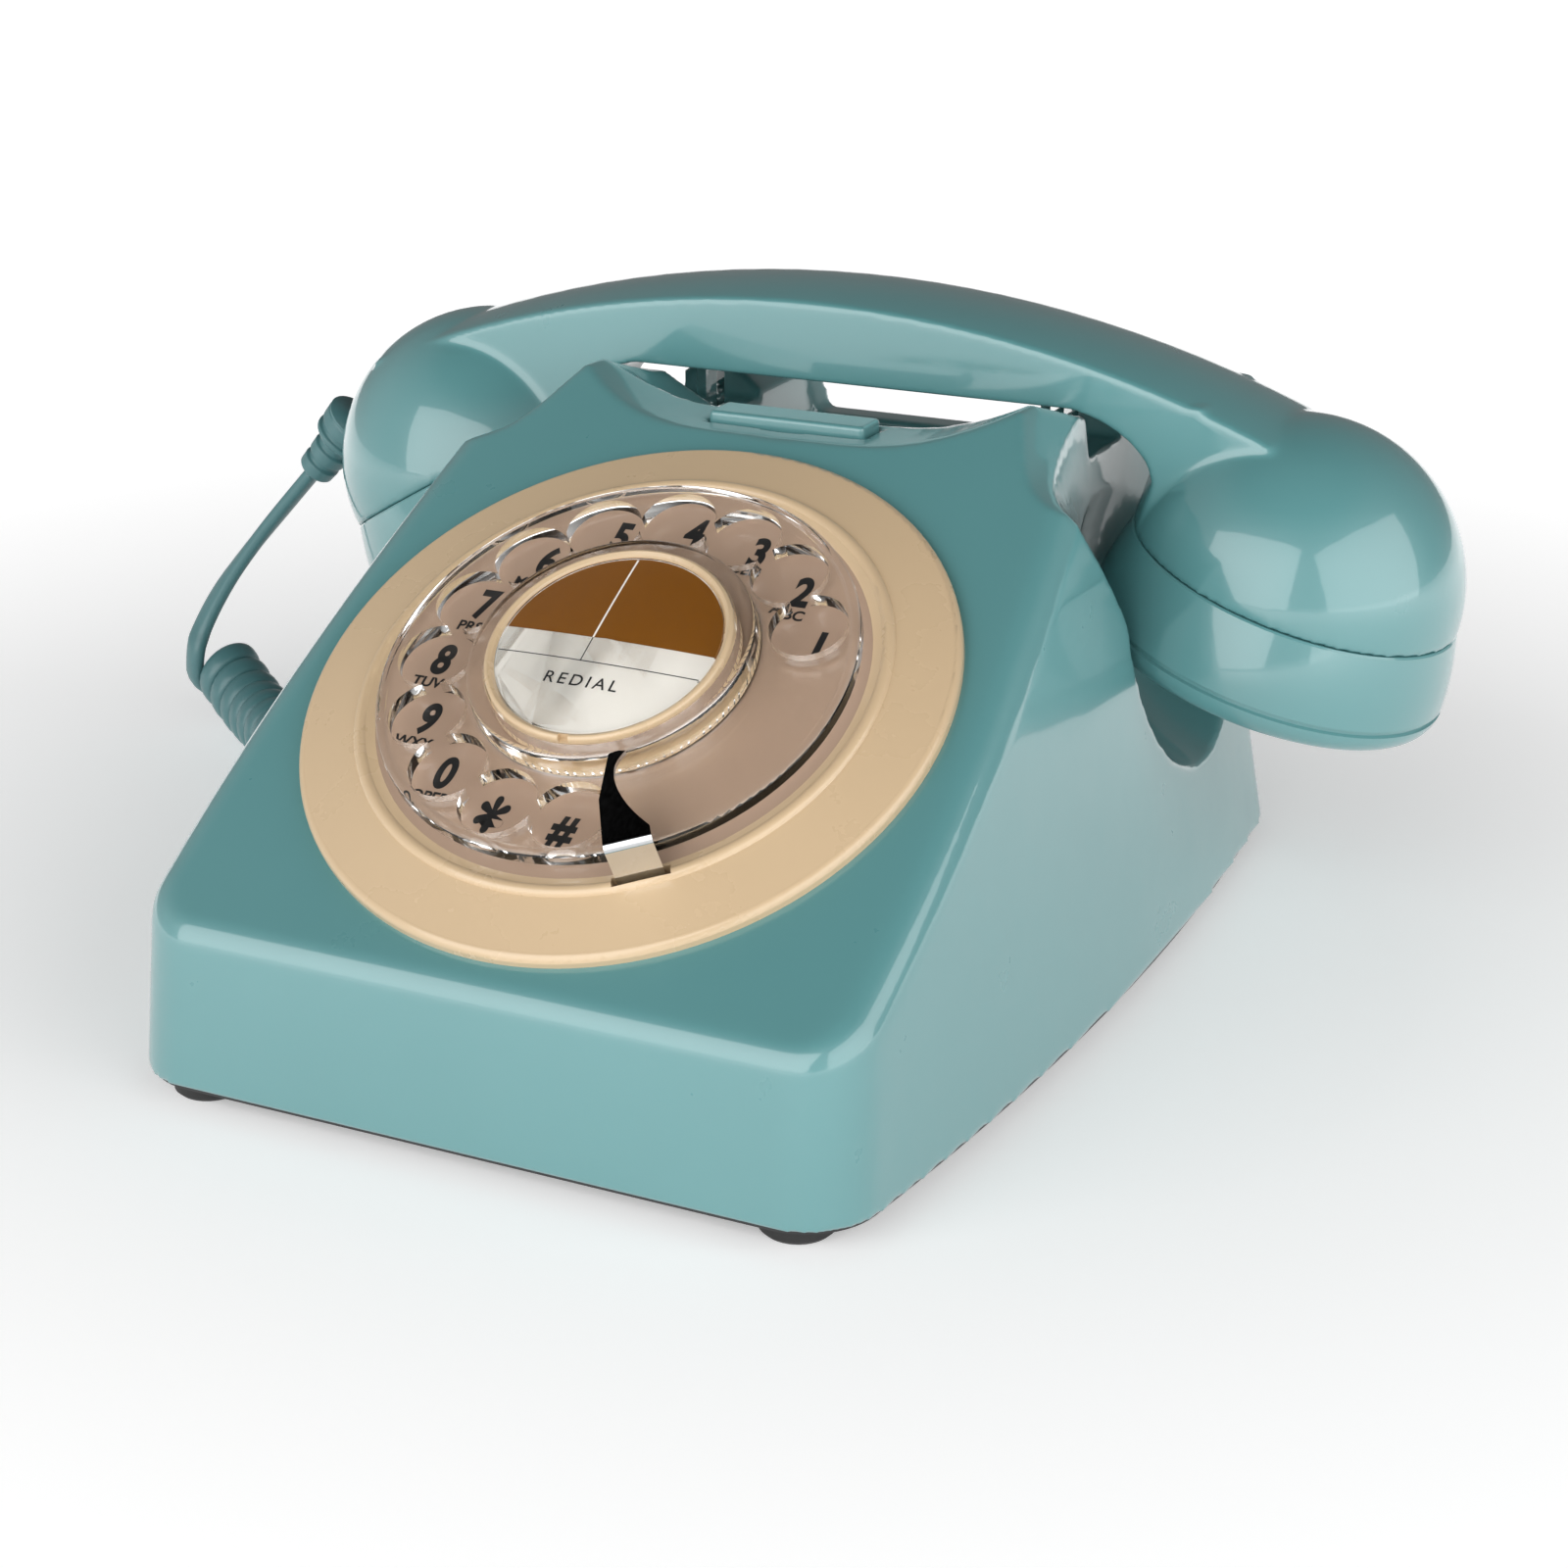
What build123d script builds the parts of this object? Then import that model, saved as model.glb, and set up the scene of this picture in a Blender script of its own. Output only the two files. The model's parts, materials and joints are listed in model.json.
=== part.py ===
"""Desk telephone with a sloping face, a clear rotary dial and a lift-off handset.

Millimetres. X runs along the handset, -Y is the front, +Z is up and Z = 0 is the table top.
"""
from build123d import *
import math
import os

os.makedirs("parts", exist_ok=True)

# ---------------------------------------------------------------- driving dimensions
FOOT_HEIGHT = 3.3
FLANGE_THICKNESS = 0.6
CASE_BOTTOM = FOOT_HEIGHT + FLANGE_THICKNESS
PLATE_TOP = 6.3
CASE_WALL = 2.8
CASE_LOFT_TOP = 112.0

FRONT_Y = -102.0
REAR_Y = 101.2
FACE_ANGLE = 30.3
DIAL_CENTRE = (0, -44.65, 62.9)
HANDSET_Y = 57.5

RING_RADIUS = 57.0
RING_BORE = 42.6
WHEEL_RADIUS = 41.4
WHEEL_BOTTOM = 5.6
WHEEL_TOP = 8.0
WHEEL_HUB_RADIUS = 24.6
WHEEL_HUB_BORE = 21.6
WHEEL_HUB_TOP = 12.0
FINGER_HOLE_COUNT = 12
FINGER_HOLE_RADIUS = 6.75
FINGER_HOLE_PITCH_RADIUS = 32.6
FINGER_HOLE_FIRST = 25.0
FINGER_HOLE_STEP = 23.3
STOP_ANGLE = -61.0

VALLEY_Z = 94.3
PRONG_Z = 101.4
PRONG_X = 43.6
REAR_HORN_Z = 98.0
CHANNEL_Z = 86.5
RECESS_FLOOR_Z = 70.0
REAR_VALLEY_Z = 79.0

# the two cups, keyed by side: -1 is the mouthpiece on the left, 1 the earpiece on the right
CUP_CENTRE = {-1: (-86.6, HANDSET_Y, 69.7), 1: (84.5, HANDSET_Y, 67.2)}
CUP_TILT = {-1: 30.0, 1: 17.5}
DOME_DROP = {-1: 0.0, 1: 2.0}
DOME_RADIUS = {-1: 31.5, 1: 31.6}
CUP_RADIUS = 31.5
CAP_RADIUS = 34.2
CAP_DEPTH = 19.0
HANDLE_ARCH_RADIUS = 240.0
HANDLE_ARCH_X = -8.0
HANDLE_TOP_Z = 114.3
HANDLE_CROWN_RADIUS = 53.4
HANDLE_HALF_WIDTH = 15.5
HANDLE_UNDERSIDE_Z = 97.0
HANDLE_DEPTH = 24.5
HANDSET_WALL = 2.5
SCOOP_X = 84.0
SCOOP_Z = 66.0
SCOOP_RADIUS = 40.0
SCOOP_START_RADIUS = 38.5
SCOOP_START_Z = 62.0

HANDLE_RIGHT_ANGLE = 24.1
HANDLE_LEFT_ANGLE = 22.5
CAP_BORE = 28.6
SOUND_HOLE_RADIUS = 1.3
PLUG_Z = 11.5
BOOT_START = (-112.0, 57.5, 72.7)
BOOT_DIRECTION = (-0.891, 0, -0.454)
BOOT_LENGTH = 21.5

CORD_RADIUS = 2.2
COIL_RADIUS = 7.4
LEAD_ROUTE = [
    (-132.1, 57.5, 61.8),
    (-140.3, 57.3, 53.0),
    (-149.3, 56.0, 42.6),
    (-156.2, 53.8, 33.0),
    (-160.6, 51.4, 24.0),
    (-161.6, 51.0, 16.8),
]
COIL_ROUTE = [
    (-159.0, 55.6, 15.3),
    (-147.8, 50.3, 8.4),
    (-134.0, 40.5, 7.6),
    (-119.5, 28.4, 7.6),
    (-104.2, 14.8, 7.6),
]
TAIL_ROUTE = [
    (-104.2, 14.8, 7.6),
    (-96.5, 8.6, 8.6),
    (-87.0, 3.2, 11.3),
    (-77.0, 3.0, 11.5),
]

BUTTON_Y = 20.0
BUTTON_SLOT = (31.8, 8.8)
PLUNGER_X = 37.4
PLUNGER_SIZE = (4.6, 8.0)
PLUNGER_TOP_Z = 96.6
CROSSBAR_Z = 58.0
CROSSBAR_HEIGHT = 4.0
SHELF_Z = 46.0
DIAL_OPENING_RADIUS = 38.6
JACK_X = 20.0
JACK_Z = 14.0
SOCKET_Y = 3.0
SOCKET_Z = 12.0
SOCKET_FACE_X = -73.2
SCREW_POINTS = ((-50, -70), (50, -70), (-60, 62), (60, 62))
FOOT_POINTS = ((-54.5, -93.0), (54.5, -93.0), (-56.0, 88.0), (56.0, 88.0))

STOP_BEND = 1.3
STOP_TOP = 13.2
STOP_OUTER = 44.7
STOP_THICKNESS = 0.8
STOP_FOOT = 0.8
COVER_RADIUS = 19.4
COVER_EDGE = 12.5
COVER_RISE = 1.15

GONG_X = 27.0
GONG_Y = 60.0
GONG_RADIUS = 23.0
GONG_TOP_Z = 27.0
CLAPPER_Y = 34.0
BOARD_TOP = PLATE_TOP + 3.1

# ---------------------------------------------------------------- shared planes
face_sin = math.sin(math.radians(FACE_ANGLE))
face_cos = math.cos(math.radians(FACE_ANGLE))
FACE_NORMAL = (0, -face_sin, face_cos)
dial_plane = Plane(origin=DIAL_CENTRE, x_dir=(1, 0, 0), z_dir=FACE_NORMAL)
dial_section = Plane(origin=DIAL_CENTRE, x_dir=(1, 0, 0), z_dir=(0, -face_cos, -face_sin))
dial_axis = Axis(DIAL_CENTRE, FACE_NORMAL)


def leaning(side, degrees):
    """Upward direction that leans towards one side by an angle."""
    return Vector(side * math.sin(math.radians(degrees)), 0, math.cos(math.radians(degrees)))


def cup_across(side):
    """Direction across a cup's seam, away from the middle of the handset."""
    return Vector(side * math.cos(math.radians(CUP_TILT[side])), 0, -math.sin(math.radians(CUP_TILT[side])))


def cup_plane(side):
    """The seam plane of one cup, facing down into the cap."""
    return Plane(origin=CUP_CENTRE[side], x_dir=cup_across(side), z_dir=-leaning(side, CUP_TILT[side]))


def dome_centre(side):
    """Centre of the round dome above one cup."""
    return Vector(*CUP_CENTRE[side]) - leaning(side, CUP_TILT[side]) * DOME_DROP[side]


def face_height(y):
    """Height of the sloping face at a given Y."""
    return DIAL_CENTRE[2] + (y - DIAL_CENTRE[1]) * face_sin / face_cos


# ---------------------------------------------------------------- case
def case_outline(height, inset):
    """Bowed plan outline of the case at one height, on the current workplane."""
    rise = (height - FOOT_HEIGHT) / (CASE_LOFT_TOP - FOOT_HEIGHT)
    front_y = FRONT_Y + 13.0 * rise + inset
    rear_y = REAR_Y - 9.0 * rise - inset
    front_x = 65.4 - 2.4 * rise - inset
    middle_x = 75.0 - 16.7 * rise - inset
    middle_y = 10.0 - 25.0 * rise
    rear_x = 71.0 - 17.5 * rise - inset
    with BuildSketch(Plane.XY.offset(height)) as outline:
        with BuildLine():
            Line((-front_x, front_y), (front_x, front_y))
            ThreePointArc((front_x, front_y), (middle_x, middle_y), (rear_x, rear_y))
            ThreePointArc((rear_x, rear_y), (0, rear_y + 0.8), (-rear_x, rear_y))
            ThreePointArc((-rear_x, rear_y), (-middle_x, middle_y), (-front_x, front_y))
        make_face()
        fillet(outline.vertices(), radius=13.0 - 3.0 * rise - 0.5 * inset)
    return outline.sketch


def wedge_profile(inset):
    """Side view of the case: sloping face, front horns, handle channel and rear horns."""
    with BuildSketch(Plane.YZ.offset(-120)) as profile:
        with BuildLine():
            Polyline(
                (FRONT_Y - 20, -20),
                (FRONT_Y - 20, face_height(FRONT_Y - 20)),
                (21.6, face_height(21.6)),
                (26.0, PRONG_Z),
                (42.0, 96.0),
                (46.0, 95.2),
                (49.5, CHANNEL_Z),
                (65.5, CHANNEL_Z),
                (69.0, 95.0),
                (86.0, REAR_HORN_Z),
                (REAR_Y + 20, REAR_HORN_Z),
                (REAR_Y + 20, -20),
                close=True,
            )
        make_face()
        if inset > 0:
            offset(amount=-inset, kind=Kind.INTERSECTION)
    return profile.sketch


def top_trim_profile(inset):
    """Front view of everything above the case: shoulders, horn tips and the valley between them."""
    drop = inset
    with BuildSketch(Plane.XZ.offset(-130)) as profile:
        for side in (1, -1):
            with BuildLine():
                Spline(
                    (0, VALLEY_Z - drop),
                    (side * 14, VALLEY_Z + 0.2 - drop),
                    (side * 24, VALLEY_Z + 0.9 - drop),
                    (side * 32, VALLEY_Z + 2.6 - drop),
                    (side * 39, VALLEY_Z + 5.0 - drop),
                    (side * PRONG_X, PRONG_Z - drop),
                )
                Spline(
                    (side * PRONG_X, PRONG_Z - drop),
                    (side * 46.2, 98.0 - drop),
                    (side * 50.9, 92.6 - drop),
                    (side * 56.0, 90.2 - drop),
                    (side * 63.0, 87.9 - drop),
                )
                Polyline(
                    (side * 63.0, 87.9 - drop),
                    (side * 90.0, 80.0 - drop),
                    (side * 90.0, 130.0),
                    (0, 130.0),
                    (0, VALLEY_Z - drop),
                )
            make_face()
    return profile.sketch


def recess_section(y, inset, shallow):
    """One cross-section of the hand recess between the horns, from its floor to the open top."""
    if shallow:
        right = ((44.4, 102.2), (36.0, 98.8), (29.5, 96.8), (26.5, 96.2))
    else:
        right = ((43.0, 97.6), (36.0, 92.4), (29.5, 88.0), (26.5, RECESS_FLOOR_Z))
    spread = [(x + inset, z - inset) for x, z in right]
    left = [(-x, z) for x, z in reversed(spread)]
    with BuildSketch(Plane.XZ.offset(-y)) as section:
        with BuildLine():
            Polyline((spread[0][0], 130), *spread, *left, (left[-1][0], 130), close=True)
        make_face()
    return section.sketch


def recess_tool(inset):
    """Hand recess: a short ramp behind the valley, then a straight well as far as the rear wall."""
    with BuildPart() as ramp:
        add(recess_section(26.0 - inset, inset, True))
        add(recess_section(36.0 - inset, inset, False))
        loft(ruled=True)
    with BuildPart() as well:
        add(recess_section(36.0 - inset, inset, False))
        extrude(amount=52.0 + 2 * inset, dir=(0, 1, 0))
    return ramp.part + well.part


def rear_gap_tool(inset):
    """Opening between the rear horns, where fingers come in from behind."""
    with BuildPart() as gap:
        with BuildSketch(Plane.XZ.offset(-78.0)):
            with BuildLine():
                Polyline(
                    (-43.0 - inset, 130),
                    (-43.0 - inset, 97.6 - inset),
                    (-29.5 - inset, 88.0 - inset),
                    (-27.0 - inset, REAR_VALLEY_Z - inset),
                    (27.0 + inset, REAR_VALLEY_Z - inset),
                    (29.5 + inset, 88.0 - inset),
                    (43.0 + inset, 97.6 - inset),
                    (43.0 + inset, 130),
                    close=True,
                )
            make_face()
        extrude(amount=40.0, dir=(0, 1, 0))
    return gap.part


def flank_section(height, inset, front_half):
    """Plan of the scoop beside the horns at one height; mirrored about the handset line."""
    front = [(x - inset, y) for x, y in front_half]
    rear = [(x, 2 * HANDSET_Y - y) for x, y in reversed(front[:-1])]
    with BuildSketch(Plane.XY.offset(height)) as section:
        with BuildLine():
            Spline(*front, *rear)
            Polyline(rear[-1], (98, rear[-1][1]), (98, front[0][1]), front[0])
        make_face()
    return section.sketch


def scoop_circle_point(angle):
    """A point on the circle where the flank starts inside the bowl, at an angle from the -X direction."""
    return (
        SCOOP_X - SCOOP_START_RADIUS * math.cos(math.radians(angle)),
        HANDSET_Y - SCOOP_START_RADIUS * math.sin(math.radians(angle)),
    )


def scoop_tool(inset):
    """Room for one handset cup: a bowl below and a flank that opens towards the shoulder above."""
    with BuildPart() as tool:
        add(flank_section(SCOOP_START_Z, inset, [scoop_circle_point(angle) for angle in (72, 50, 32, 15, 0)]))
        add(flank_section(106.0, inset, [(51.0, -8.0), (48.5, 3.0), (48.0, 16.0), (47.6, 34.0), (47.0, HANDSET_Y)]))
        loft(ruled=True)
        with Locations((SCOOP_X, HANDSET_Y, SCOOP_Z)):
            Sphere(SCOOP_RADIUS + inset)
    return tool.part


def case_form(inset):
    """Solid envelope of the case, drawn in by the given inset."""
    well = recess_tool(inset)
    gap = rear_gap_tool(inset)
    right_scoop = scoop_tool(inset)
    left_scoop = mirror(right_scoop, about=Plane.YZ)
    with BuildPart() as form:
        add(case_outline(CASE_BOTTOM if inset == 0 else CASE_BOTTOM - 3, inset))
        add(case_outline(CASE_LOFT_TOP, inset))
        loft(ruled=True)
        add(wedge_profile(inset))
        extrude(amount=240, dir=(1, 0, 0), mode=Mode.INTERSECT)
        if inset == 0:
            sloping = form.faces().filter_by(dial_plane).sort_by(SortBy.AREA)[-1]
            fillet(sloping.edges().filter_by(lambda e: e.center().Z < 90), radius=6.0)
        add(top_trim_profile(inset))
        extrude(amount=260, dir=(0, -1, 0), mode=Mode.SUBTRACT)
        add(well, mode=Mode.SUBTRACT)
        add(gap, mode=Mode.SUBTRACT)
        add(right_scoop, mode=Mode.SUBTRACT)
        add(left_scoop, mode=Mode.SUBTRACT)
    return form.part


case_outer = case_form(0)
case_inner = case_form(CASE_WALL)


with BuildPart() as case_shell:
    add(case_outer)
    add(case_inner, mode=Mode.SUBTRACT)
    # opening under the dial
    with BuildSketch(dial_plane.offset(4)):
        Circle(DIAL_OPENING_RADIUS)
    extrude(amount=-16, mode=Mode.SUBTRACT)
    # slot for the bar button
    with BuildSketch(Plane.XY.offset(RECESS_FLOOR_Z)):
        with Locations((0, BUTTON_Y)):
            Rectangle(*BUTTON_SLOT)
    extrude(amount=40, mode=Mode.SUBTRACT)
    # plunger holes in the floors of the handle channels
    with BuildSketch(Plane.XY.offset(CHANNEL_Z - 6)):
        with Locations((PLUNGER_X, HANDSET_Y), (-PLUNGER_X, HANDSET_Y)):
            Rectangle(PLUNGER_SIZE[0] + 0.8, PLUNGER_SIZE[1] + 0.8)
    extrude(amount=12, mode=Mode.SUBTRACT)
    # windows for the line socket at the back and the handset cord socket on the left
    with BuildSketch(Plane.XZ.offset(-94)):
        with Locations((JACK_X, JACK_Z)):
            Rectangle(14, 12)
    extrude(amount=-12, mode=Mode.SUBTRACT)
    with BuildSketch(Plane.YZ.offset(-80)):
        with Locations((SOCKET_Y, SOCKET_Z)):
            Rectangle(14, 11)
    extrude(amount=12, mode=Mode.SUBTRACT)
case_shell.part.label = "case_shell"
export_step(case_shell.part, "parts/case_shell.step")

# ---------------------------------------------------------------- base plate, feet and screws

with BuildPart() as base_plate:
    add(case_outline(FOOT_HEIGHT, 0.9))
    extrude(amount=FLANGE_THICKNESS)
    add(case_outline(CASE_BOTTOM, CASE_WALL + 0.8))
    extrude(amount=PLATE_TOP - CASE_BOTTOM)
    with Locations(*[(x, y, FOOT_HEIGHT) for x, y in SCREW_POINTS]):
        Cylinder(3.6, 1.4, align=(Align.CENTER, Align.CENTER, Align.MIN), mode=Mode.SUBTRACT)
        Cylinder(1.8, 8.0, align=(Align.CENTER, Align.CENTER, Align.MIN), mode=Mode.SUBTRACT)
base_plate.part.label = "base_plate"
export_step(base_plate.part, "parts/base_plate.step")

for foot_name, foot_point in zip(("foot_front_left", "foot_front_right", "foot_rear_left", "foot_rear_right"), FOOT_POINTS):
    with BuildPart() as foot:
        with Locations((foot_point[0], foot_point[1], 0)):
            Cylinder(6.2, FOOT_HEIGHT, align=(Align.CENTER, Align.CENTER, Align.MIN))
        chamfer(foot.edges().group_by(Axis.Z)[0], length=0.7)
    foot.part.label = foot_name
    export_step(foot.part, f"parts/{foot_name}.step")

with BuildPart() as base_screws:
    with Locations(*[(x, y, FOOT_HEIGHT + 0.2) for x, y in SCREW_POINTS]):
        Cylinder(3.3, 1.2, align=(Align.CENTER, Align.CENTER, Align.MIN))
    with Locations(*[(x, y, FOOT_HEIGHT + 1.4) for x, y in SCREW_POINTS]):
        Cylinder(1.5, 7.0, align=(Align.CENTER, Align.CENTER, Align.MIN))
    with Locations(*[(x, y, FOOT_HEIGHT + 0.2) for x, y in SCREW_POINTS]):
        Box(4.2, 0.7, 0.6, align=(Align.CENTER, Align.CENTER, Align.MIN), mode=Mode.SUBTRACT)
        Box(0.7, 4.2, 0.6, align=(Align.CENTER, Align.CENTER, Align.MIN), mode=Mode.SUBTRACT)
base_screws.part.label = "base_screws"
export_step(base_screws.part, "parts/base_screws.step")

with BuildPart() as screw_bosses:
    with Locations(*[(x, y, PLATE_TOP) for x, y in SCREW_POINTS]):
        Cylinder(4.0, 12.0, align=(Align.CENTER, Align.CENTER, Align.MIN))
        Cylinder(1.5, 6.0, align=(Align.CENTER, Align.CENTER, Align.MIN), mode=Mode.SUBTRACT)
screw_bosses.part.label = "screw_bosses"
export_step(screw_bosses.part, "parts/screw_bosses.step")

# ---------------------------------------------------------------- dial
with BuildPart() as dial_ring:
    with BuildSketch(dial_section):
        with BuildLine():
            Polyline((RING_BORE, 0), (RING_RADIUS, 0), (RING_RADIUS, 1.1))
            ThreePointArc((RING_RADIUS, 1.1), (56.6, 1.9), (55.7, 2.3))
            Line((55.7, 2.3), (46.4, 4.3))
            ThreePointArc((46.4, 4.3), (45.3, 5.2), (44.2, 4.7))
            Polyline((44.2, 4.7), (RING_BORE, 4.2), (RING_BORE, 0))
        make_face()
    revolve(axis=dial_axis, revolution_arc=360)
    # slot that takes the foot of the finger stop
    with BuildSketch(dial_plane.offset(0.8)):
        with PolarLocations(44.3, 1, start_angle=STOP_ANGLE):
            Rectangle(2.4, 9.6)
    extrude(amount=6, mode=Mode.SUBTRACT)
dial_ring.part.label = "dial_ring"
export_step(dial_ring.part, "parts/dial_ring.step")

with BuildPart() as number_plate:
    with BuildSketch(dial_plane.offset(2.2)):
        Circle(RING_BORE)
        Circle(7.0, mode=Mode.SUBTRACT)
    extrude(amount=2.0)
number_plate.part.label = "number_plate"
export_step(number_plate.part, "parts/number_plate.step")


stop_direction = Vector(math.cos(math.radians(STOP_ANGLE)), math.sin(math.radians(STOP_ANGLE)), 0)
stop_radial = dial_plane.from_local_coords(stop_direction) - dial_plane.from_local_coords((0, 0, 0))
stop_plane = Plane(origin=dial_plane.origin, x_dir=stop_radial, z_dir=dial_plane.z_dir)
stop_side = Plane(origin=dial_plane.origin, x_dir=stop_radial, z_dir=stop_radial.cross(dial_plane.z_dir))

with BuildPart() as finger_stop:
    # side view: a thin strip that bends down at the rim of the wheel
    with BuildSketch(stop_side.offset(-8)):
        with BuildLine():
            Polyline(
                (STOP_OUTER, STOP_FOOT),
                (STOP_OUTER, STOP_TOP - STOP_BEND),
            )
            RadiusArc((STOP_OUTER, STOP_TOP - STOP_BEND), (STOP_OUTER - STOP_BEND, STOP_TOP), -STOP_BEND)
            Polyline(
                (STOP_OUTER - STOP_BEND, STOP_TOP),
                (24.0, STOP_TOP),
                (24.0, STOP_TOP - STOP_THICKNESS),
                (STOP_OUTER - STOP_BEND, STOP_TOP - STOP_THICKNESS),
            )
            RadiusArc(
                (STOP_OUTER - STOP_BEND, STOP_TOP - STOP_THICKNESS),
                (STOP_OUTER - STOP_THICKNESS, STOP_TOP - STOP_BEND),
                STOP_BEND - STOP_THICKNESS,
            )
            Polyline(
                (STOP_OUTER - STOP_THICKNESS, STOP_TOP - STOP_BEND),
                (STOP_OUTER - STOP_THICKNESS, STOP_FOOT),
                (STOP_OUTER, STOP_FOOT),
            )
        make_face()
    extrude(amount=16)
    # plan view: a hooked blade that widens towards the rim
    with BuildSketch(stop_plane):
        with BuildLine():
            Polyline((45.5, -3.9), (34.4, -3.8), (25.3, -1.6))
            ThreePointArc((25.3, -1.6), (25.0, -0.2), (25.5, 1.2))
            Spline((25.5, 1.2), (28.8, -0.9), (33.6, -0.5), (38.2, 1.4), (42.0, 3.8))
            Polyline((42.0, 3.8), (45.5, 3.9), (45.5, -3.9))
        make_face()
    extrude(amount=16, mode=Mode.INTERSECT)
finger_stop.part.label = "finger_stop"
export_step(finger_stop.part, "parts/finger_stop.step")

with BuildPart() as finger_wheel:
    with BuildSketch(dial_section):
        with BuildLine():
            Polyline(
                (WHEEL_HUB_BORE, WHEEL_BOTTOM),
                (WHEEL_RADIUS - 0.5, WHEEL_BOTTOM),
                (WHEEL_RADIUS, WHEEL_BOTTOM + 0.5),
                (WHEEL_RADIUS, WHEEL_TOP - 0.2),
            )
            ThreePointArc((WHEEL_RADIUS, WHEEL_TOP - 0.2), (40.9, 8.35), (40.1, WHEEL_TOP + 0.4))
            Polyline((40.1, WHEEL_TOP + 0.4), (39.5, WHEEL_TOP), (25.6, WHEEL_TOP))
            ThreePointArc((25.6, WHEEL_TOP), (24.9, 8.4), (WHEEL_HUB_RADIUS, 9.2))
            Line((WHEEL_HUB_RADIUS, 9.2), (WHEEL_HUB_RADIUS, WHEEL_HUB_TOP - 0.8))
            ThreePointArc((WHEEL_HUB_RADIUS, WHEEL_HUB_TOP - 0.8), (24.3, 11.8), (23.6, WHEEL_HUB_TOP))
            Polyline((23.6, WHEEL_HUB_TOP), (WHEEL_HUB_BORE, WHEEL_HUB_TOP), (WHEEL_HUB_BORE, WHEEL_BOTTOM))
        make_face()
    revolve(axis=dial_axis, revolution_arc=360)
    with BuildSketch(dial_plane.offset(WHEEL_BOTTOM - 1)):
        with PolarLocations(FINGER_HOLE_PITCH_RADIUS, FINGER_HOLE_COUNT, start_angle=FINGER_HOLE_FIRST,
                            angular_range=FINGER_HOLE_STEP * FINGER_HOLE_COUNT):
            Circle(FINGER_HOLE_RADIUS)
    extrude(amount=5, mode=Mode.SUBTRACT)
finger_wheel.part.label = "finger_wheel"
export_step(finger_wheel.part, "parts/finger_wheel.step")

with BuildPart() as wheel_hub:
    with BuildSketch(dial_section):
        with BuildLine():
            Polyline((3.4, 5.2), (WHEEL_HUB_BORE, 5.2), (WHEEL_HUB_BORE, 7.4), (3.4, 7.4), close=True)
        make_face()
    revolve(axis=dial_axis, revolution_arc=360)
wheel_hub.part.label = "wheel_hub"
export_step(wheel_hub.part, "parts/wheel_hub.step")

with BuildPart() as dial_shaft:
    with BuildSketch(dial_plane.offset(-27.5)):
        Circle(4.0)
    extrude(amount=32.7)
    with BuildSketch(dial_plane.offset(-22)):
        Circle(24.0)
        Circle(4.0, mode=Mode.SUBTRACT)
    extrude(amount=2.0)
dial_shaft.part.label = "dial_shaft"
export_step(dial_shaft.part, "parts/dial_shaft.step")

with BuildPart() as button_carrier:
    with BuildSketch(dial_section):
        with BuildLine():
            Polyline((0, 9.4), (21.2, 9.4), (21.2, 12.3))
            ThreePointArc((21.2, 12.3), (21.0, 12.8), (20.5, 13.0))
            Polyline((20.5, 13.0), (19.9, 12.7), (19.5, 12.0), (19.5, 11.4), (0, 11.4), (0, 9.4))
        make_face()
    revolve(axis=dial_axis, revolution_arc=360)
    with BuildSketch(dial_plane.offset(7.0)):
        Circle(3.0)
    extrude(amount=2.4)
    # small locating notch at the bottom of the rim
    with BuildSketch(dial_plane.offset(11.8)):
        with PolarLocations(20.9, 1, start_angle=-86.0):
            Rectangle(1.4, 1.8)
    extrude(amount=3, mode=Mode.SUBTRACT)
button_carrier.part.label = "button_carrier"
export_step(button_carrier.part, "parts/button_carrier.step")

with BuildPart() as label_card:
    with BuildSketch(dial_plane.offset(11.4)):
        Circle(19.4)
    extrude(amount=0.4)
label_card.part.label = "label_card"
export_step(label_card.part, "parts/label_card.step")

cover_curve = (COVER_RADIUS**2 + COVER_RISE**2) / (2 * COVER_RISE)

with BuildPart() as label_cover:
    with BuildSketch(dial_section):
        with BuildLine():
            Polyline((0, COVER_EDGE - 0.7), (COVER_RADIUS, COVER_EDGE - 0.7), (COVER_RADIUS, COVER_EDGE))
            RadiusArc((COVER_RADIUS, COVER_EDGE), (0, COVER_EDGE + COVER_RISE), -cover_curve)
            Line((0, COVER_EDGE + COVER_RISE), (0, COVER_EDGE - 0.7))
        make_face()
    revolve(axis=dial_axis, revolution_arc=360)
label_cover.part.label = "label_cover"
export_step(label_cover.part, "parts/label_cover.step")

with BuildPart() as dial_housing:
    with BuildSketch(dial_section):
        with BuildLine():
            Polyline(
                (37.0, -26.0), (37.0, 2.2), (42.0, 2.2), (42.0, 0.0), (38.4, 0.0), (38.4, -27.5),
                (4.05, -27.5), (4.05, -26.0), close=True,
            )
        make_face()
    revolve(axis=dial_axis, revolution_arc=360)
dial_housing.part.label = "dial_housing"
export_step(dial_housing.part, "parts/dial_housing.step")

with BuildPart() as return_spring:
    with BuildSketch(dial_plane.offset(-16)):
        for turn in range(6):
            Circle(8.6 + 2.0 * turn)
            Circle(8.0 + 2.0 * turn, mode=Mode.SUBTRACT)
        with Locations((13.3, 0)):
            Rectangle(10.8, 1.0)
    extrude(amount=5)
return_spring.part.label = "return_spring"
export_step(return_spring.part, "parts/return_spring.step")

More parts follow.
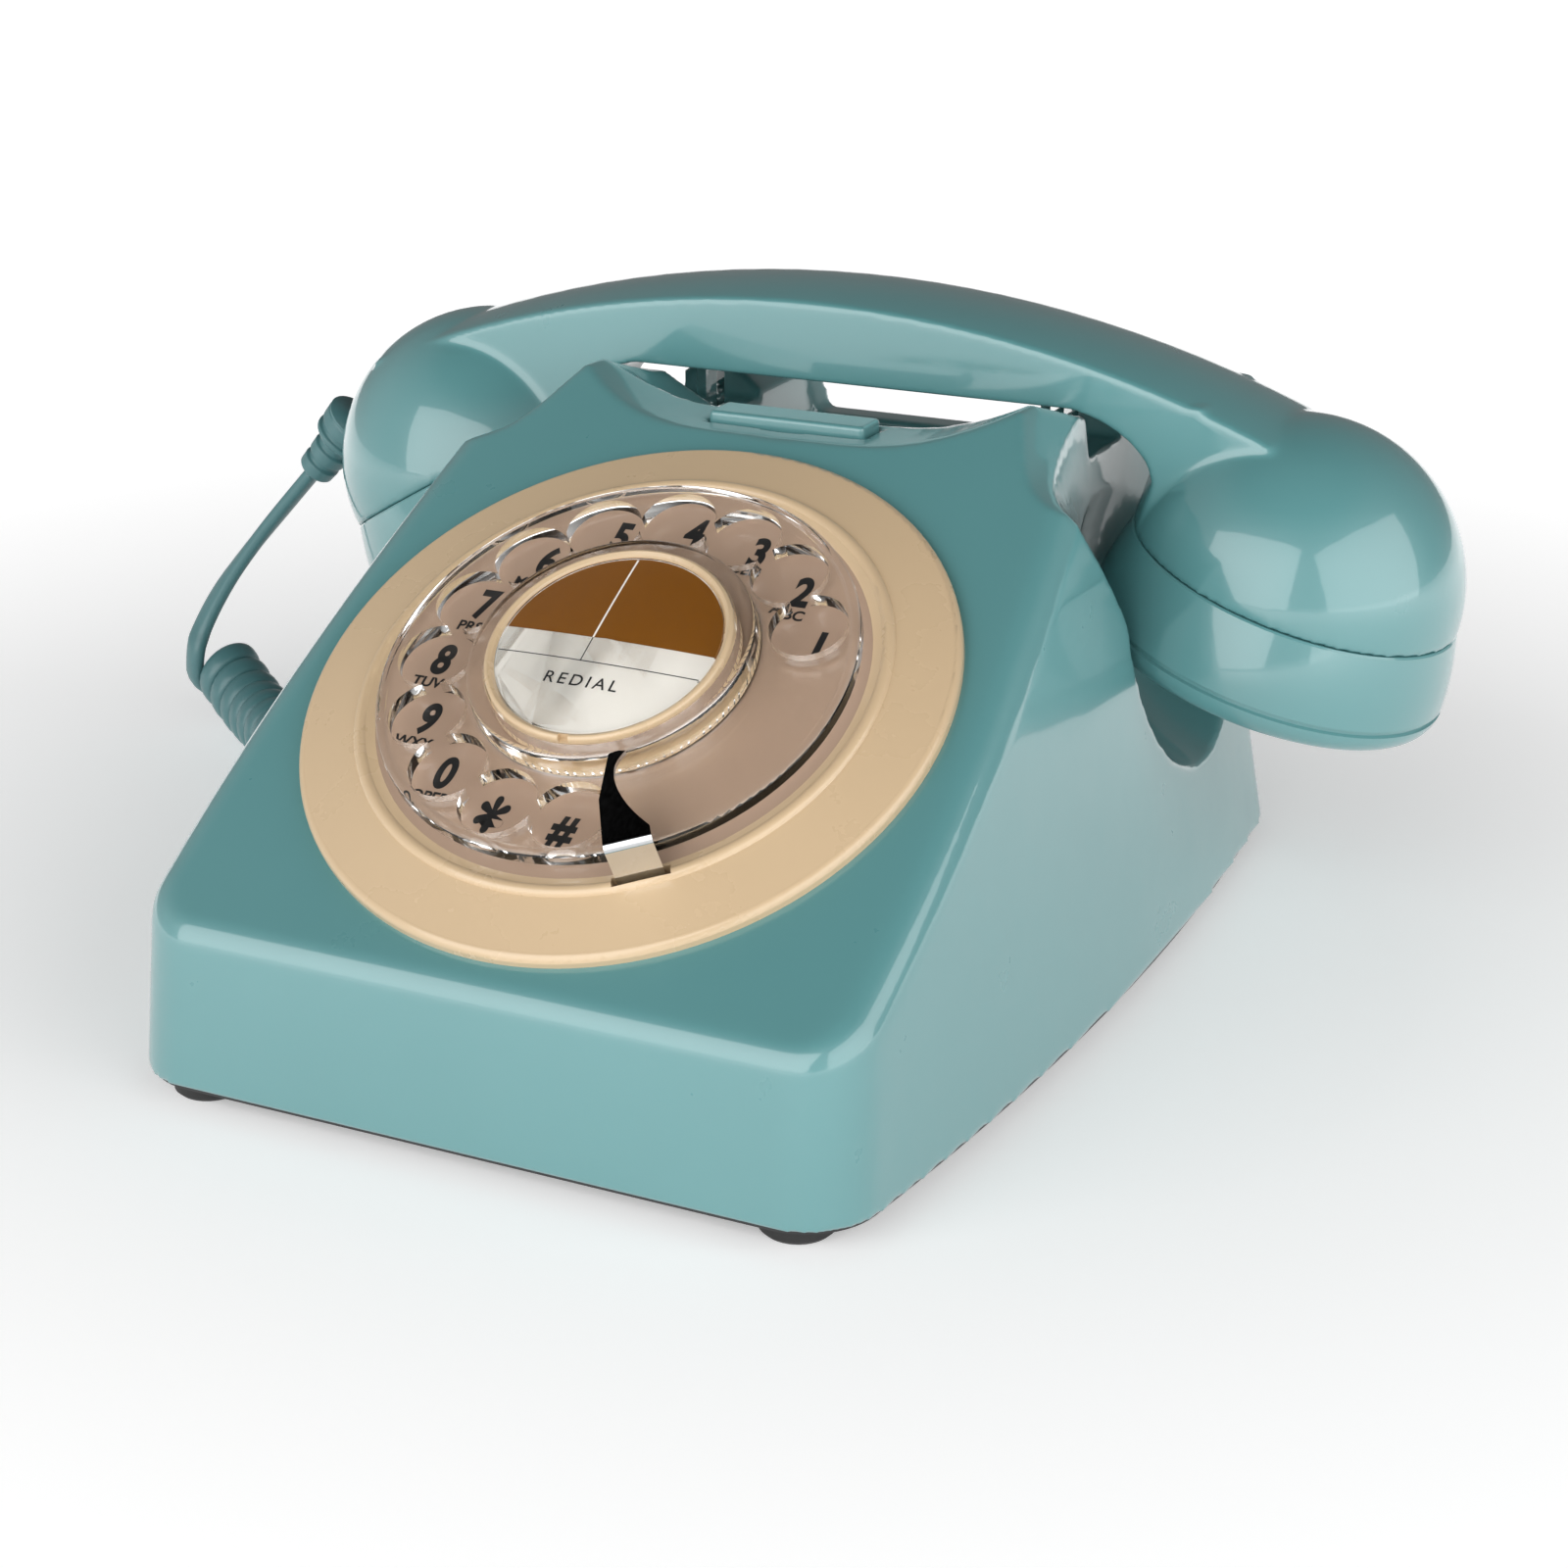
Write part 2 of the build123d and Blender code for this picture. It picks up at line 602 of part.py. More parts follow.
# ---------------------------------------------------------------- bar button between the horns
with BuildPart() as recall_button:
    with Locations((0, BUTTON_Y, 91.0)):
        Box(31.0, 8.0, 5.4, align=(Align.CENTER, Align.CENTER, Align.MIN))
    fillet(recall_button.edges().filter_by(Axis.Z), radius=1.0)
    fillet(recall_button.faces().sort_by(Axis.Z)[-1].edges(), radius=0.8)
    with Locations((0, BUTTON_Y - 0.9, 88.6)):
        Box(34.5, 8.8, 2.4, align=(Align.CENTER, Align.CENTER, Align.MIN))
    with Locations((0, BUTTON_Y, 86.4)):
        Box(3.0, 3.0, 2.4, align=(Align.CENTER, Align.CENTER, Align.MIN))
recall_button.part.label = "recall_button"
export_step(recall_button.part, "parts/recall_button.step")

with BuildPart() as recall_switch:
    with Locations((0, BUTTON_Y - 1.5, 76.0)):
        Box(12.0, 9.0, 8.0, align=(Align.CENTER, Align.CENTER, Align.MIN))
    with Locations((0, BUTTON_Y - 1.5, 74.4)):
        Box(46.0, 9.0, 1.6, align=(Align.CENTER, Align.CENTER, Align.MIN))
    with Locations((22.2, BUTTON_Y - 1.5, 74.4), (-22.2, BUTTON_Y - 1.5, 74.4)):
        Box(1.6, 9.0, 17.6, align=(Align.CENTER, Align.CENTER, Align.MIN))
recall_switch.part.label = "recall_switch"
export_step(recall_switch.part, "parts/recall_switch.step")

# ---------------------------------------------------------------- hook: two plungers on one crossbar

for hook_name, hook_side in (("hook_plunger_left", -1), ("hook_plunger_right", 1)):
    with BuildPart() as plunger:
        with Locations((hook_side * PLUNGER_X, HANDSET_Y, CROSSBAR_Z + CROSSBAR_HEIGHT)):
            Box(
                PLUNGER_SIZE[0],
                PLUNGER_SIZE[1],
                PLUNGER_TOP_Z - CROSSBAR_Z - CROSSBAR_HEIGHT,
                align=(Align.CENTER, Align.CENTER, Align.MIN),
            )
        fillet(plunger.faces().sort_by(Axis.Z)[-1].edges(), radius=0.8)
    plunger.part.label = hook_name
    export_step(plunger.part, f"parts/{hook_name}.step")

with BuildPart() as hook_crossbar:
    with Locations((0, HANDSET_Y, CROSSBAR_Z)):
        Box(79.0, 6.0, CROSSBAR_HEIGHT, align=(Align.CENTER, Align.CENTER, Align.MIN))
hook_crossbar.part.label = "hook_crossbar"
export_step(hook_crossbar.part, "parts/hook_crossbar.step")

with BuildPart() as hook_switch_bracket:
    with Locations((0, 36.0, SHELF_Z)):
        Box(48.0, 54.0, 1.6, align=(Align.CENTER, Align.CENTER, Align.MIN))
    with Locations((20.0, 9.8, PLATE_TOP), (-20.0, 9.8, PLATE_TOP)):
        Box(8.0, 1.6, SHELF_Z - PLATE_TOP, align=(Align.CENTER, Align.CENTER, Align.MIN))
hook_switch_bracket.part.label = "hook_switch_bracket"
export_step(hook_switch_bracket.part, "parts/hook_switch_bracket.step")

with BuildPart() as hook_contacts:
    for layer in range(4):
        with Locations((0, 44.0, SHELF_Z + 1.6 + 2.0 * layer)):
            Box(14.0, 10.0, 1.4, align=(Align.CENTER, Align.CENTER, Align.MIN))
        with Locations((0, 51.0, SHELF_Z + 3.0 + 2.0 * layer)):
            Box(5.0, 24.0, 0.6, align=(Align.CENTER, Align.CENTER, Align.MIN))
hook_contacts.part.label = "hook_contacts"
export_step(hook_contacts.part, "parts/hook_contacts.step")

# ---------------------------------------------------------------- ringer

for gong_name, gong_x in (("gong_left", -GONG_X), ("gong_right", GONG_X)):
    gong_section = Plane(origin=(gong_x, GONG_Y, 0), x_dir=(1, 0, 0), z_dir=(0, -1, 0))
    with BuildPart() as gong:
        with BuildSketch(gong_section):
            with BuildLine():
                Line((2.6, GONG_TOP_Z), (9.0, GONG_TOP_Z))
                ThreePointArc((9.0, GONG_TOP_Z), (18.6, 24.2), (22.4, 18.0))
                Polyline((22.4, 18.0), (GONG_RADIUS, 13.0), (GONG_RADIUS - 1.6, 13.0), (20.9, 17.8))
                ThreePointArc((20.9, 17.8), (17.5, 22.9), (9.0, GONG_TOP_Z - 1.5))
                Polyline((9.0, GONG_TOP_Z - 1.5), (2.6, GONG_TOP_Z - 1.5), (2.6, GONG_TOP_Z))
            make_face()
        revolve(axis=Axis((gong_x, GONG_Y, 0), (0, 0, 1)), revolution_arc=360)
    gong.part.label = gong_name
    export_step(gong.part, f"parts/{gong_name}.step")

with BuildPart() as gong_posts:
    with Locations((GONG_X, GONG_Y, PLATE_TOP), (-GONG_X, GONG_Y, PLATE_TOP)):
        Cylinder(4.0, GONG_TOP_Z - 1.5 - PLATE_TOP, align=(Align.CENTER, Align.CENTER, Align.MIN))
        Cylinder(2.6, GONG_TOP_Z - PLATE_TOP + 1.0, align=(Align.CENTER, Align.CENTER, Align.MIN))
gong_posts.part.label = "gong_posts"
export_step(gong_posts.part, "parts/gong_posts.step")

with BuildPart() as ringer_frame:
    with Locations((0, 22.0, PLATE_TOP)):
        Box(52.0, 22.0, 1.6, align=(Align.CENTER, Align.CENTER, Align.MIN))
    with Locations((25.2, 22.0, PLATE_TOP), (-25.2, 22.0, PLATE_TOP)):
        Box(1.6, 14.0, 21.0, align=(Align.CENTER, Align.CENTER, Align.MIN))
    with Locations((0, CLAPPER_Y, PLATE_TOP + 1.6)):
        Cylinder(1.5, 18.0, align=(Align.CENTER, Align.CENTER, Align.MIN))
    with Locations((0, CLAPPER_Y - 1.0, PLATE_TOP)):
        Box(8.0, 6.0, 1.6, align=(Align.CENTER, Align.CENTER, Align.MIN))
ringer_frame.part.label = "ringer_frame"
export_step(ringer_frame.part, "parts/ringer_frame.step")

with BuildPart() as ringer_coils:
    with BuildSketch(Plane.YZ.offset(-24.4)):
        with Locations((22.0, 18.5)):
            Circle(6.8)
    extrude(amount=18.0)
    with BuildSketch(Plane.YZ.offset(6.4)):
        with Locations((22.0, 18.5)):
            Circle(6.8)
    extrude(amount=18.0)
    with BuildSketch(Plane.YZ.offset(-6.4)):
        with Locations((22.0, 18.5)):
            Circle(2.5)
    extrude(amount=12.8)
ringer_coils.part.label = "ringer_coils"
export_step(ringer_coils.part, "parts/ringer_coils.step")

with BuildPart() as bell_clapper:
    with Locations((0, CLAPPER_Y, 17.0)):
        Cylinder(3.2, 5.0, align=(Align.CENTER, Align.CENTER, Align.MIN))
        Cylinder(1.55, 5.0, align=(Align.CENTER, Align.CENTER, Align.MIN), mode=Mode.SUBTRACT)
    with BuildSketch(Plane.XZ.offset(-(CLAPPER_Y + 2.9))):
        with Locations((0, 19.5)):
            Circle(0.8)
    extrude(amount=-(GONG_Y - CLAPPER_Y - 3.0))
    with Locations((0, GONG_Y, 19.5)):
        Sphere(2.6)
bell_clapper.part.label = "bell_clapper"
export_step(bell_clapper.part, "parts/bell_clapper.step")

# ---------------------------------------------------------------- electrics in the base
with BuildPart() as circuit_board:
    with Locations((0, -52.0, PLATE_TOP + 1.5)):
        Box(88.0, 52.0, 1.6, align=(Align.CENTER, Align.CENTER, Align.MIN))
    with Locations(*[(x, y, PLATE_TOP) for x in (-40, 40) for y in (-72, -32)]):
        Cylinder(2.5, 1.5, align=(Align.CENTER, Align.CENTER, Align.MIN))
circuit_board.part.label = "circuit_board"
export_step(circuit_board.part, "parts/circuit_board.step")

with BuildPart() as board_components:
    with Locations((-30, -40, BOARD_TOP)):
        Box(16, 12, 7, align=(Align.CENTER, Align.CENTER, Align.MIN))
    with Locations((30, -38, BOARD_TOP)):
        Cylinder(5.0, 8.0, align=(Align.CENTER, Align.CENTER, Align.MIN))
    with Locations((-8, -66, BOARD_TOP)):
        Box(20, 8, 3, align=(Align.CENTER, Align.CENTER, Align.MIN))
    with Locations((34, -62, BOARD_TOP)):
        Box(8, 18, 3, align=(Align.CENTER, Align.CENTER, Align.MIN))
board_components.part.label = "board_components"
export_step(board_components.part, "parts/board_components.step")

with BuildPart() as line_jack:
    with Locations((JACK_X, 92.6, JACK_Z)):
        Box(13.6, 16.0, 11.6)
    with Locations((JACK_X, 96.6, JACK_Z)):
        Box(9.8, 10.0, 7.0, mode=Mode.SUBTRACT)
line_jack.part.label = "line_jack"
export_step(line_jack.part, "parts/line_jack.step")

with BuildPart() as handset_socket:
    with Locations((SOCKET_FACE_X, SOCKET_Y, SOCKET_Z)):
        Box(15.0, 13.6, 10.6, align=(Align.MIN, Align.CENTER, Align.CENTER))
    with Locations((SOCKET_FACE_X, SOCKET_Y, PLUG_Z)):
        Box(9.0, 8.0, 7.0, align=(Align.MIN, Align.CENTER, Align.CENTER), mode=Mode.SUBTRACT)
handset_socket.part.label = "handset_socket"
export_step(handset_socket.part, "parts/handset_socket.step")

# ---------------------------------------------------------------- handset
def handle_bar(inset):
    """The handle's arched bar: crowned on top, with straight sides."""
    half_width = HANDLE_HALF_WIDTH - inset
    arch_centre = (HANDLE_ARCH_X, 0, HANDLE_TOP_Z - HANDLE_ARCH_RADIUS)
    crown = HANDLE_ARCH_RADIUS - inset
    crease = crown - HANDLE_CROWN_RADIUS + math.sqrt(HANDLE_CROWN_RADIUS**2 - half_width**2)
    foot = HANDLE_ARCH_RADIUS - HANDLE_DEPTH
    with BuildPart() as band:
        with BuildSketch(Plane(origin=arch_centre, x_dir=(0, 1, 0), z_dir=leaning(1, 90 - HANDLE_RIGHT_ANGLE))):
            with BuildLine():
                Polyline(
                    (HANDSET_Y - half_width, crease),
                    (HANDSET_Y - half_width, foot),
                    (HANDSET_Y + half_width, foot),
                    (HANDSET_Y + half_width, crease),
                )
                ThreePointArc(
                    (HANDSET_Y + half_width, crease),
                    (HANDSET_Y, crown),
                    (HANDSET_Y - half_width, crease),
                )
            make_face()
        revolve(axis=Axis(arch_centre, (0, 1, 0)), revolution_arc=HANDLE_RIGHT_ANGLE + HANDLE_LEFT_ANGLE)
    return band.part


def underside_cut(inset):
    """Everything below the handle: level in the middle, curving down into the necks."""
    low, high = 40, HANDLE_UNDERSIDE_Z + inset
    right = [(45, high), (54 + 0.4 * inset, 93.7 + inset), (59.3 + inset, 89 + 0.4 * inset), (61 + inset, 82)]
    left = [(-x, z) for x, z in reversed(right)]
    with BuildPart() as cut:
        with BuildSketch(Plane.XZ.offset(-120)):
            with BuildLine():
                Line(left[-1], right[0])
                Spline(*right)
                Polyline(right[-1], (right[-1][0], low), (left[0][0], low), left[0])
                Spline(*left)
            make_face()
        extrude(amount=120, dir=(0, -1, 0))
    return cut.part


def handset_form(inset):
    """Solid envelope of the handset's top shell, drawn in by the given inset."""
    bar = handle_bar(inset)
    cut = underside_cut(inset)
    with BuildPart() as form:
        add(bar)
        add(cut, mode=Mode.SUBTRACT)
        for side in (-1, 1):
            with Locations(dome_centre(side)):
                Sphere(DOME_RADIUS[side] - inset)
    return form.part


def below_seam(side):
    """Everything below one cup's seam plane."""
    with BuildPart() as lower:
        with BuildSketch(cup_plane(side)):
            Circle(CUP_RADIUS + 12)
        extrude(amount=60)
    return lower.part


def neck_nose(side):
    """Short web that carries the cup's round wall up into the handle."""
    with BuildPart() as nose:
        with BuildSketch(cup_plane(side)):
            Circle(CUP_RADIUS)
        extrude(amount=-44)
        with Locations((side * 61, HANDSET_Y, 82)):
            Box(18, 2 * HANDLE_HALF_WIDTH, 36, mode=Mode.INTERSECT)
    return nose.part


shell_outer = handset_form(0)
shell_inner = handset_form(HANDSET_WALL)
noses = [neck_nose(side) for side in (-1, 1)]
lowers = [below_seam(side) for side in (-1, 1)]
boot_plane = Plane(origin=BOOT_START, x_dir=(0, 1, 0), z_dir=BOOT_DIRECTION)

with BuildPart() as handset_shell:
    add(shell_outer)
    add(noses)
    add(lowers, mode=Mode.SUBTRACT)
    add(shell_inner, mode=Mode.SUBTRACT)
    with BuildSketch(boot_plane.offset(-3)):
        Circle(4.2)
    extrude(amount=14, mode=Mode.SUBTRACT)
handset_shell.part.label = "handset_shell"
export_step(handset_shell.part, "parts/handset_shell.step")


def cup_cap(side, hole_rings):
    """One cap: wall, groove near the rim, flat face and rings of sound holes."""
    x_dir = cup_across(side)
    with BuildPart() as cap:
        with BuildSketch(Plane(origin=CUP_CENTRE[side], x_dir=x_dir, z_dir=(0, side, 0))):
            with BuildLine():
                Polyline((CAP_BORE, 0), (CUP_RADIUS - 0.3, 0), (CUP_RADIUS, 0.3))
                Spline((CUP_RADIUS, 0.3), (32.6, 4), (33.7, 9), (CAP_RADIUS, 13.7))
                Polyline((CAP_RADIUS, 13.7), (33.6, 14.0), (33.6, 14.6), (CAP_RADIUS, 14.9))
                Spline((CAP_RADIUS, 14.9), (33.8, 16.8), (32.7, 18.3), (30.8, CAP_DEPTH))
                Polyline(
                    (30.8, CAP_DEPTH),
                    (24.0, CAP_DEPTH - 0.6),
                    (0, CAP_DEPTH - 1.2),
                    (0, CAP_DEPTH - 3.0),
                    (CAP_BORE, CAP_DEPTH - 2.4),
                    (CAP_BORE, 0),
                )
            make_face()
        revolve(axis=Axis(CUP_CENTRE[side], -leaning(side, CUP_TILT[side])), revolution_arc=360)
        with BuildSketch(cup_plane(side).offset(CAP_DEPTH - 5)):
            Circle(SOUND_HOLE_RADIUS)
            for radius, count in hole_rings:
                with PolarLocations(radius, count):
                    Circle(SOUND_HOLE_RADIUS)
        extrude(amount=8, mode=Mode.SUBTRACT)
    return cap.part


receiver_cap = cup_cap(1, ((7.0, 6), (13.5, 12)))
microphone_cap = cup_cap(-1, ((6.0, 6), (12.0, 12), (18.0, 18)))

with BuildPart() as ear_cap:
    add(receiver_cap)
ear_cap.part.label = "ear_cap"
export_step(ear_cap.part, "parts/ear_cap.step")

with BuildPart() as mouth_cap:
    add(microphone_cap)
mouth_cap.part.label = "mouth_cap"
export_step(mouth_cap.part, "parts/mouth_cap.step")


def capsule(side, radius, depth):
    """Round capsule that sits on the inside of one cap."""
    top = CAP_DEPTH - 3.1 - depth
    with BuildPart() as can:
        with BuildSketch(cup_plane(side).offset(top)):
            Circle(radius)
        extrude(amount=depth)
        with BuildSketch(cup_plane(side).offset(top - 3)):
            Circle(radius * 0.6)
        extrude(amount=3)
    return can.part


receiver = capsule(1, 27.6, 7.0)
microphone = capsule(-1, 25.0, 6.0)

with BuildPart() as receiver_capsule:
    add(receiver)
receiver_capsule.part.label = "receiver_capsule"
export_step(receiver_capsule.part, "parts/receiver_capsule.step")

with BuildPart() as microphone_capsule:
    add(microphone)
microphone_capsule.part.label = "microphone_capsule"
export_step(microphone_capsule.part, "parts/microphone_capsule.step")

with BuildPart() as handset_weight:
    with Locations((0, HANDSET_Y, HANDLE_UNDERSIDE_Z + HANDSET_WALL)):
        Box(44, 20, 6, align=(Align.CENTER, Align.CENTER, Align.MIN))
handset_weight.part.label = "handset_weight"
export_step(handset_weight.part, "parts/handset_weight.step")

# ---------------------------------------------------------------- handset cord
with BuildPart() as handset_strain_relief:
    with BuildSketch(boot_plane):
        Circle(6.7)
    with BuildSketch(boot_plane.offset(BOOT_LENGTH - 2.0)):
        Circle(5.3)
    loft()
    with BuildSketch(boot_plane.offset(BOOT_LENGTH - 2.0)):
        Circle(5.3)
    extrude(amount=2.0)
    fillet(handset_strain_relief.faces().sort_by(Axis.X)[0].edges(), radius=1.6)
    # flexing slots, alternating from ring to ring
    for ring in range(5):
        with BuildSketch(boot_plane.offset(8.2 + 2.4 * ring)):
            with PolarLocations(6.4, 3, start_angle=60.0 * (ring % 2)):
                Rectangle(2.6, 7.6)
        extrude(amount=0.9, mode=Mode.SUBTRACT)
    with Locations(dome_centre(-1)):
        Sphere(DOME_RADIUS[-1] + 0.02, mode=Mode.SUBTRACT)
    with BuildSketch(boot_plane.offset(-4)):
        Circle(4.1)
    extrude(amount=12)
    with BuildSketch(boot_plane.offset(-6)):
        Circle(5.0)
    extrude(amount=2)
handset_strain_relief.part.label = "handset_strain_relief"
export_step(handset_strain_relief.part, "parts/handset_strain_relief.step")


def cord_radii(points):
    """Bend radius at each inner point of a route."""
    radii = []
    for before, here, after in zip(points, points[1:], points[2:]):
        first = Vector(*here) - Vector(*before)
        second = Vector(*after) - Vector(*here)
        turn = math.radians(first.get_angle(second))
        radii.append(0.45 * min(first.length, second.length) / math.tan(turn / 2))
    return radii


def cord_tube(points, tube_radius):
    """Round tube along straight runs joined by tangent arcs."""
    radii = cord_radii(points)
    print("cord radii:", [round(radius, 1) for radius in radii])
    with BuildPart() as tube:
        with BuildLine() as route:
            FilletPolyline(*points, radius=radii)
        with BuildSketch(Plane(origin=points[0], z_dir=Vector(*points[1]) - Vector(*points[0]))):
            Circle(tube_radius)
        sweep(path=route.wires()[0])
    length = route.wires()[0].length
    area = math.pi * tube_radius**2
    print("length", round(length, 1), "volume ratio", round(tube.part.volume / (area * length), 4))
    return tube.part


lead_tube = cord_tube(LEAD_ROUTE, CORD_RADIUS)
coil_tube = cord_tube(COIL_ROUTE, COIL_RADIUS)
tail_tube = cord_tube(TAIL_ROUTE, CORD_RADIUS)

with BuildPart() as handset_cord_lead:
    add(lead_tube)
handset_cord_lead.part.label = "handset_cord_lead"
export_step(handset_cord_lead.part, "parts/handset_cord_lead.step")

with BuildPart() as handset_cord_coil:
    add(coil_tube)
handset_cord_coil.part.label = "handset_cord_coil"
export_step(handset_cord_coil.part, "parts/handset_cord_coil.step")

with BuildPart() as handset_cord_tail:
    add(tail_tube)
handset_cord_tail.part.label = "handset_cord_tail"
export_step(handset_cord_tail.part, "parts/handset_cord_tail.step")

with BuildPart() as handset_plug:
    with Locations((-77.0, SOCKET_Y, PLUG_Z)):
        Box(12.5, 7.7, 6.6, align=(Align.MIN, Align.CENTER, Align.CENTER))
    fillet(handset_plug.edges().filter_by(Axis.X), radius=0.6)
handset_plug.part.label = "handset_plug"
export_step(handset_plug.part, "parts/handset_plug.step")
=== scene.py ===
"""Looks of a wedge-shaped rotary desk telephone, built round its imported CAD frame.

Metres in the row's frame: X along the handset, -Y the front, +Z up. MM turns millimetres into metres.
"""
import json
import math

import bmesh
import bpy
from mathutils import Matrix, Vector


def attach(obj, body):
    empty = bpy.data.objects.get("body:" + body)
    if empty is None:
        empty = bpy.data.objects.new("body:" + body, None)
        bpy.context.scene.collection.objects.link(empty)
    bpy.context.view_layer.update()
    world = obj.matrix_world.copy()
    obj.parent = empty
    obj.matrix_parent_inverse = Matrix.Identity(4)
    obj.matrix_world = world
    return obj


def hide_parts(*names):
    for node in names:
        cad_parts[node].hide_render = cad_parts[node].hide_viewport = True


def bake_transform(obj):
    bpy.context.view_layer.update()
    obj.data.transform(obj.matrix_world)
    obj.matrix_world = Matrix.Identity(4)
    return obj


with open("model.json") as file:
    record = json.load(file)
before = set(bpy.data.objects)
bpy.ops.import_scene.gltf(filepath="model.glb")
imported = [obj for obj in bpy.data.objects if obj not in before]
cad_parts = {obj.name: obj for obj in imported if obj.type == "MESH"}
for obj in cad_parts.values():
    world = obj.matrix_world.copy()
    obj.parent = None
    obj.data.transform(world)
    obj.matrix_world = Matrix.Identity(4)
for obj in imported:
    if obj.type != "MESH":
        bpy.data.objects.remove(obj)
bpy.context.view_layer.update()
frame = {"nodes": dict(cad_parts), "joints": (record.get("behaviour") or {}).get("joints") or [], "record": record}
nodes = frame["nodes"]
record = frame["record"]
joints = {joint["name"]: joint for joint in frame["joints"]}
MM = 0.001

# ---------------------------------------------------------------- camera
CAMERA_PLACE = Vector((0.22039, -0.44414, 0.22136))
CAMERA_RIGHT = Vector((0.9018, 0.4322, 0.0)).normalized()
CAMERA_FORWARD = Vector((-0.4035, 0.8421, -0.3579)).normalized()
CAMERA_LENS = 66.3
SENSOR = 36.0
CAMERA_NEAR = 0.01
CAMERA_FAR = 50.0


def make_camera():
    """The camera at the photograph's viewing angle."""
    data = bpy.data.cameras.new("camera")
    data.lens = CAMERA_LENS
    data.sensor_width = SENSOR
    data.clip_start = CAMERA_NEAR
    data.clip_end = CAMERA_FAR
    camera = bpy.data.objects.new("camera", data)
    bpy.context.collection.objects.link(camera)
    up = CAMERA_RIGHT.cross(CAMERA_FORWARD).normalized()
    turn = Matrix((CAMERA_RIGHT, up, -CAMERA_FORWARD)).transposed()
    camera.matrix_world = Matrix.Translation(CAMERA_PLACE) @ turn.to_4x4()
    bpy.context.scene.camera = camera


make_camera()

# ---------------------------------------------------------------- places on the dial
wheel_joint = joints["finger_wheel_turn"]
DIAL_CENTRE = Vector(wheel_joint["pos_m"])
DIAL_NORMAL = -Vector(wheel_joint["axis"]).normalized()
DIAL_X = Vector((1, 0, 0))
DIAL_UP = DIAL_NORMAL.cross(DIAL_X).normalized()
DIAL_MATRIX = Matrix.Translation(DIAL_CENTRE) @ Matrix((DIAL_X, DIAL_UP, DIAL_NORMAL)).transposed().to_4x4()


def dial_point(across, along, above):
    """A point given in millimetres across, up along and above the sloping face."""
    return DIAL_MATRIX @ (Vector((across, along, above)) * MM)


# ---------------------------------------------------------------- materials
NOISE_ROUGHNESS = 0.55
PLASTIC_COAT_ROUGHNESS = 0.07
PLASTIC_COAT_IOR = 1.6
PLASTIC_SPECULAR = 0.5
PLASTIC_DRIFT_SCALE = 14.0
PLASTIC_RUB_SCALE = 60.0
EDGE_WEAR_FROM = 0.54
EDGE_WEAR_TO = 0.66
METAL_MARK_SCALE = 700.0
RELIEF_DEPTH = 0.1 * MM
METAL_RELIEF_DEPTH = 0.05 * MM
CLEAR_TINT = (0.97, 0.975, 0.965)
CLEAR_SHADOW = 0.96
CLEAR_IOR = 1.45
CLEAR_ROUGHNESS = 0.02
RUBBER_ROUGHNESS = 0.6


def new_material(name):
    """An empty node material with its Principled shader."""
    material = bpy.data.materials.new(name)
    material.use_nodes = True
    tree = material.node_tree
    return material, tree, tree.nodes["Principled BSDF"]


def node(tree, kind, **settings):
    """A new node with its plain attributes set."""
    made = tree.nodes.new(kind)
    for key, value in settings.items():
        setattr(made, key, value)
    return made


def noise(tree, scale, detail=3.0, stretch=None):
    """Noise over the object's own coordinates, optionally stretched along the axes."""
    place = node(tree, "ShaderNodeTexCoord")
    texture = node(tree, "ShaderNodeTexNoise")
    texture.inputs["Scale"].default_value = scale
    texture.inputs["Detail"].default_value = detail
    texture.inputs["Roughness"].default_value = NOISE_ROUGHNESS
    source = place.outputs["Object"]
    if stretch:
        mapping = node(tree, "ShaderNodeMapping")
        mapping.inputs["Scale"].default_value = stretch
        tree.links.new(source, mapping.inputs["Vector"])
        source = mapping.outputs["Vector"]
    tree.links.new(source, texture.inputs["Vector"])
    return texture.outputs["Fac"]


def ramp(tree, source, low, high, start=0.3, end=0.7):
    """Maps a factor onto two colours or two numbers."""
    made = node(tree, "ShaderNodeValToRGB")
    made.color_ramp.elements[0].position = start
    made.color_ramp.elements[1].position = end
    made.color_ramp.elements[0].color = as_colour(low)
    made.color_ramp.elements[1].color = as_colour(high)
    tree.links.new(source, made.inputs["Fac"])
    return made.outputs["Color"]


def as_colour(value):
    """A number or an RGB triple as RGBA."""
    if isinstance(value, (int, float)):
        return (value, value, value, 1.0)
    return (*value, 1.0)


def bump(tree, shader, source, strength, distance):
    """Small surface relief on the shader."""
    made = node(tree, "ShaderNodeBump")
    made.inputs["Strength"].default_value = strength
    made.inputs["Distance"].default_value = distance
    tree.links.new(source, made.inputs["Height"])
    tree.links.new(made.outputs["Normal"], shader.inputs["Normal"])


def scaled(colour, factor):
    """A colour made lighter or darker."""
    return tuple(min(1.0, channel * factor) for channel in colour)


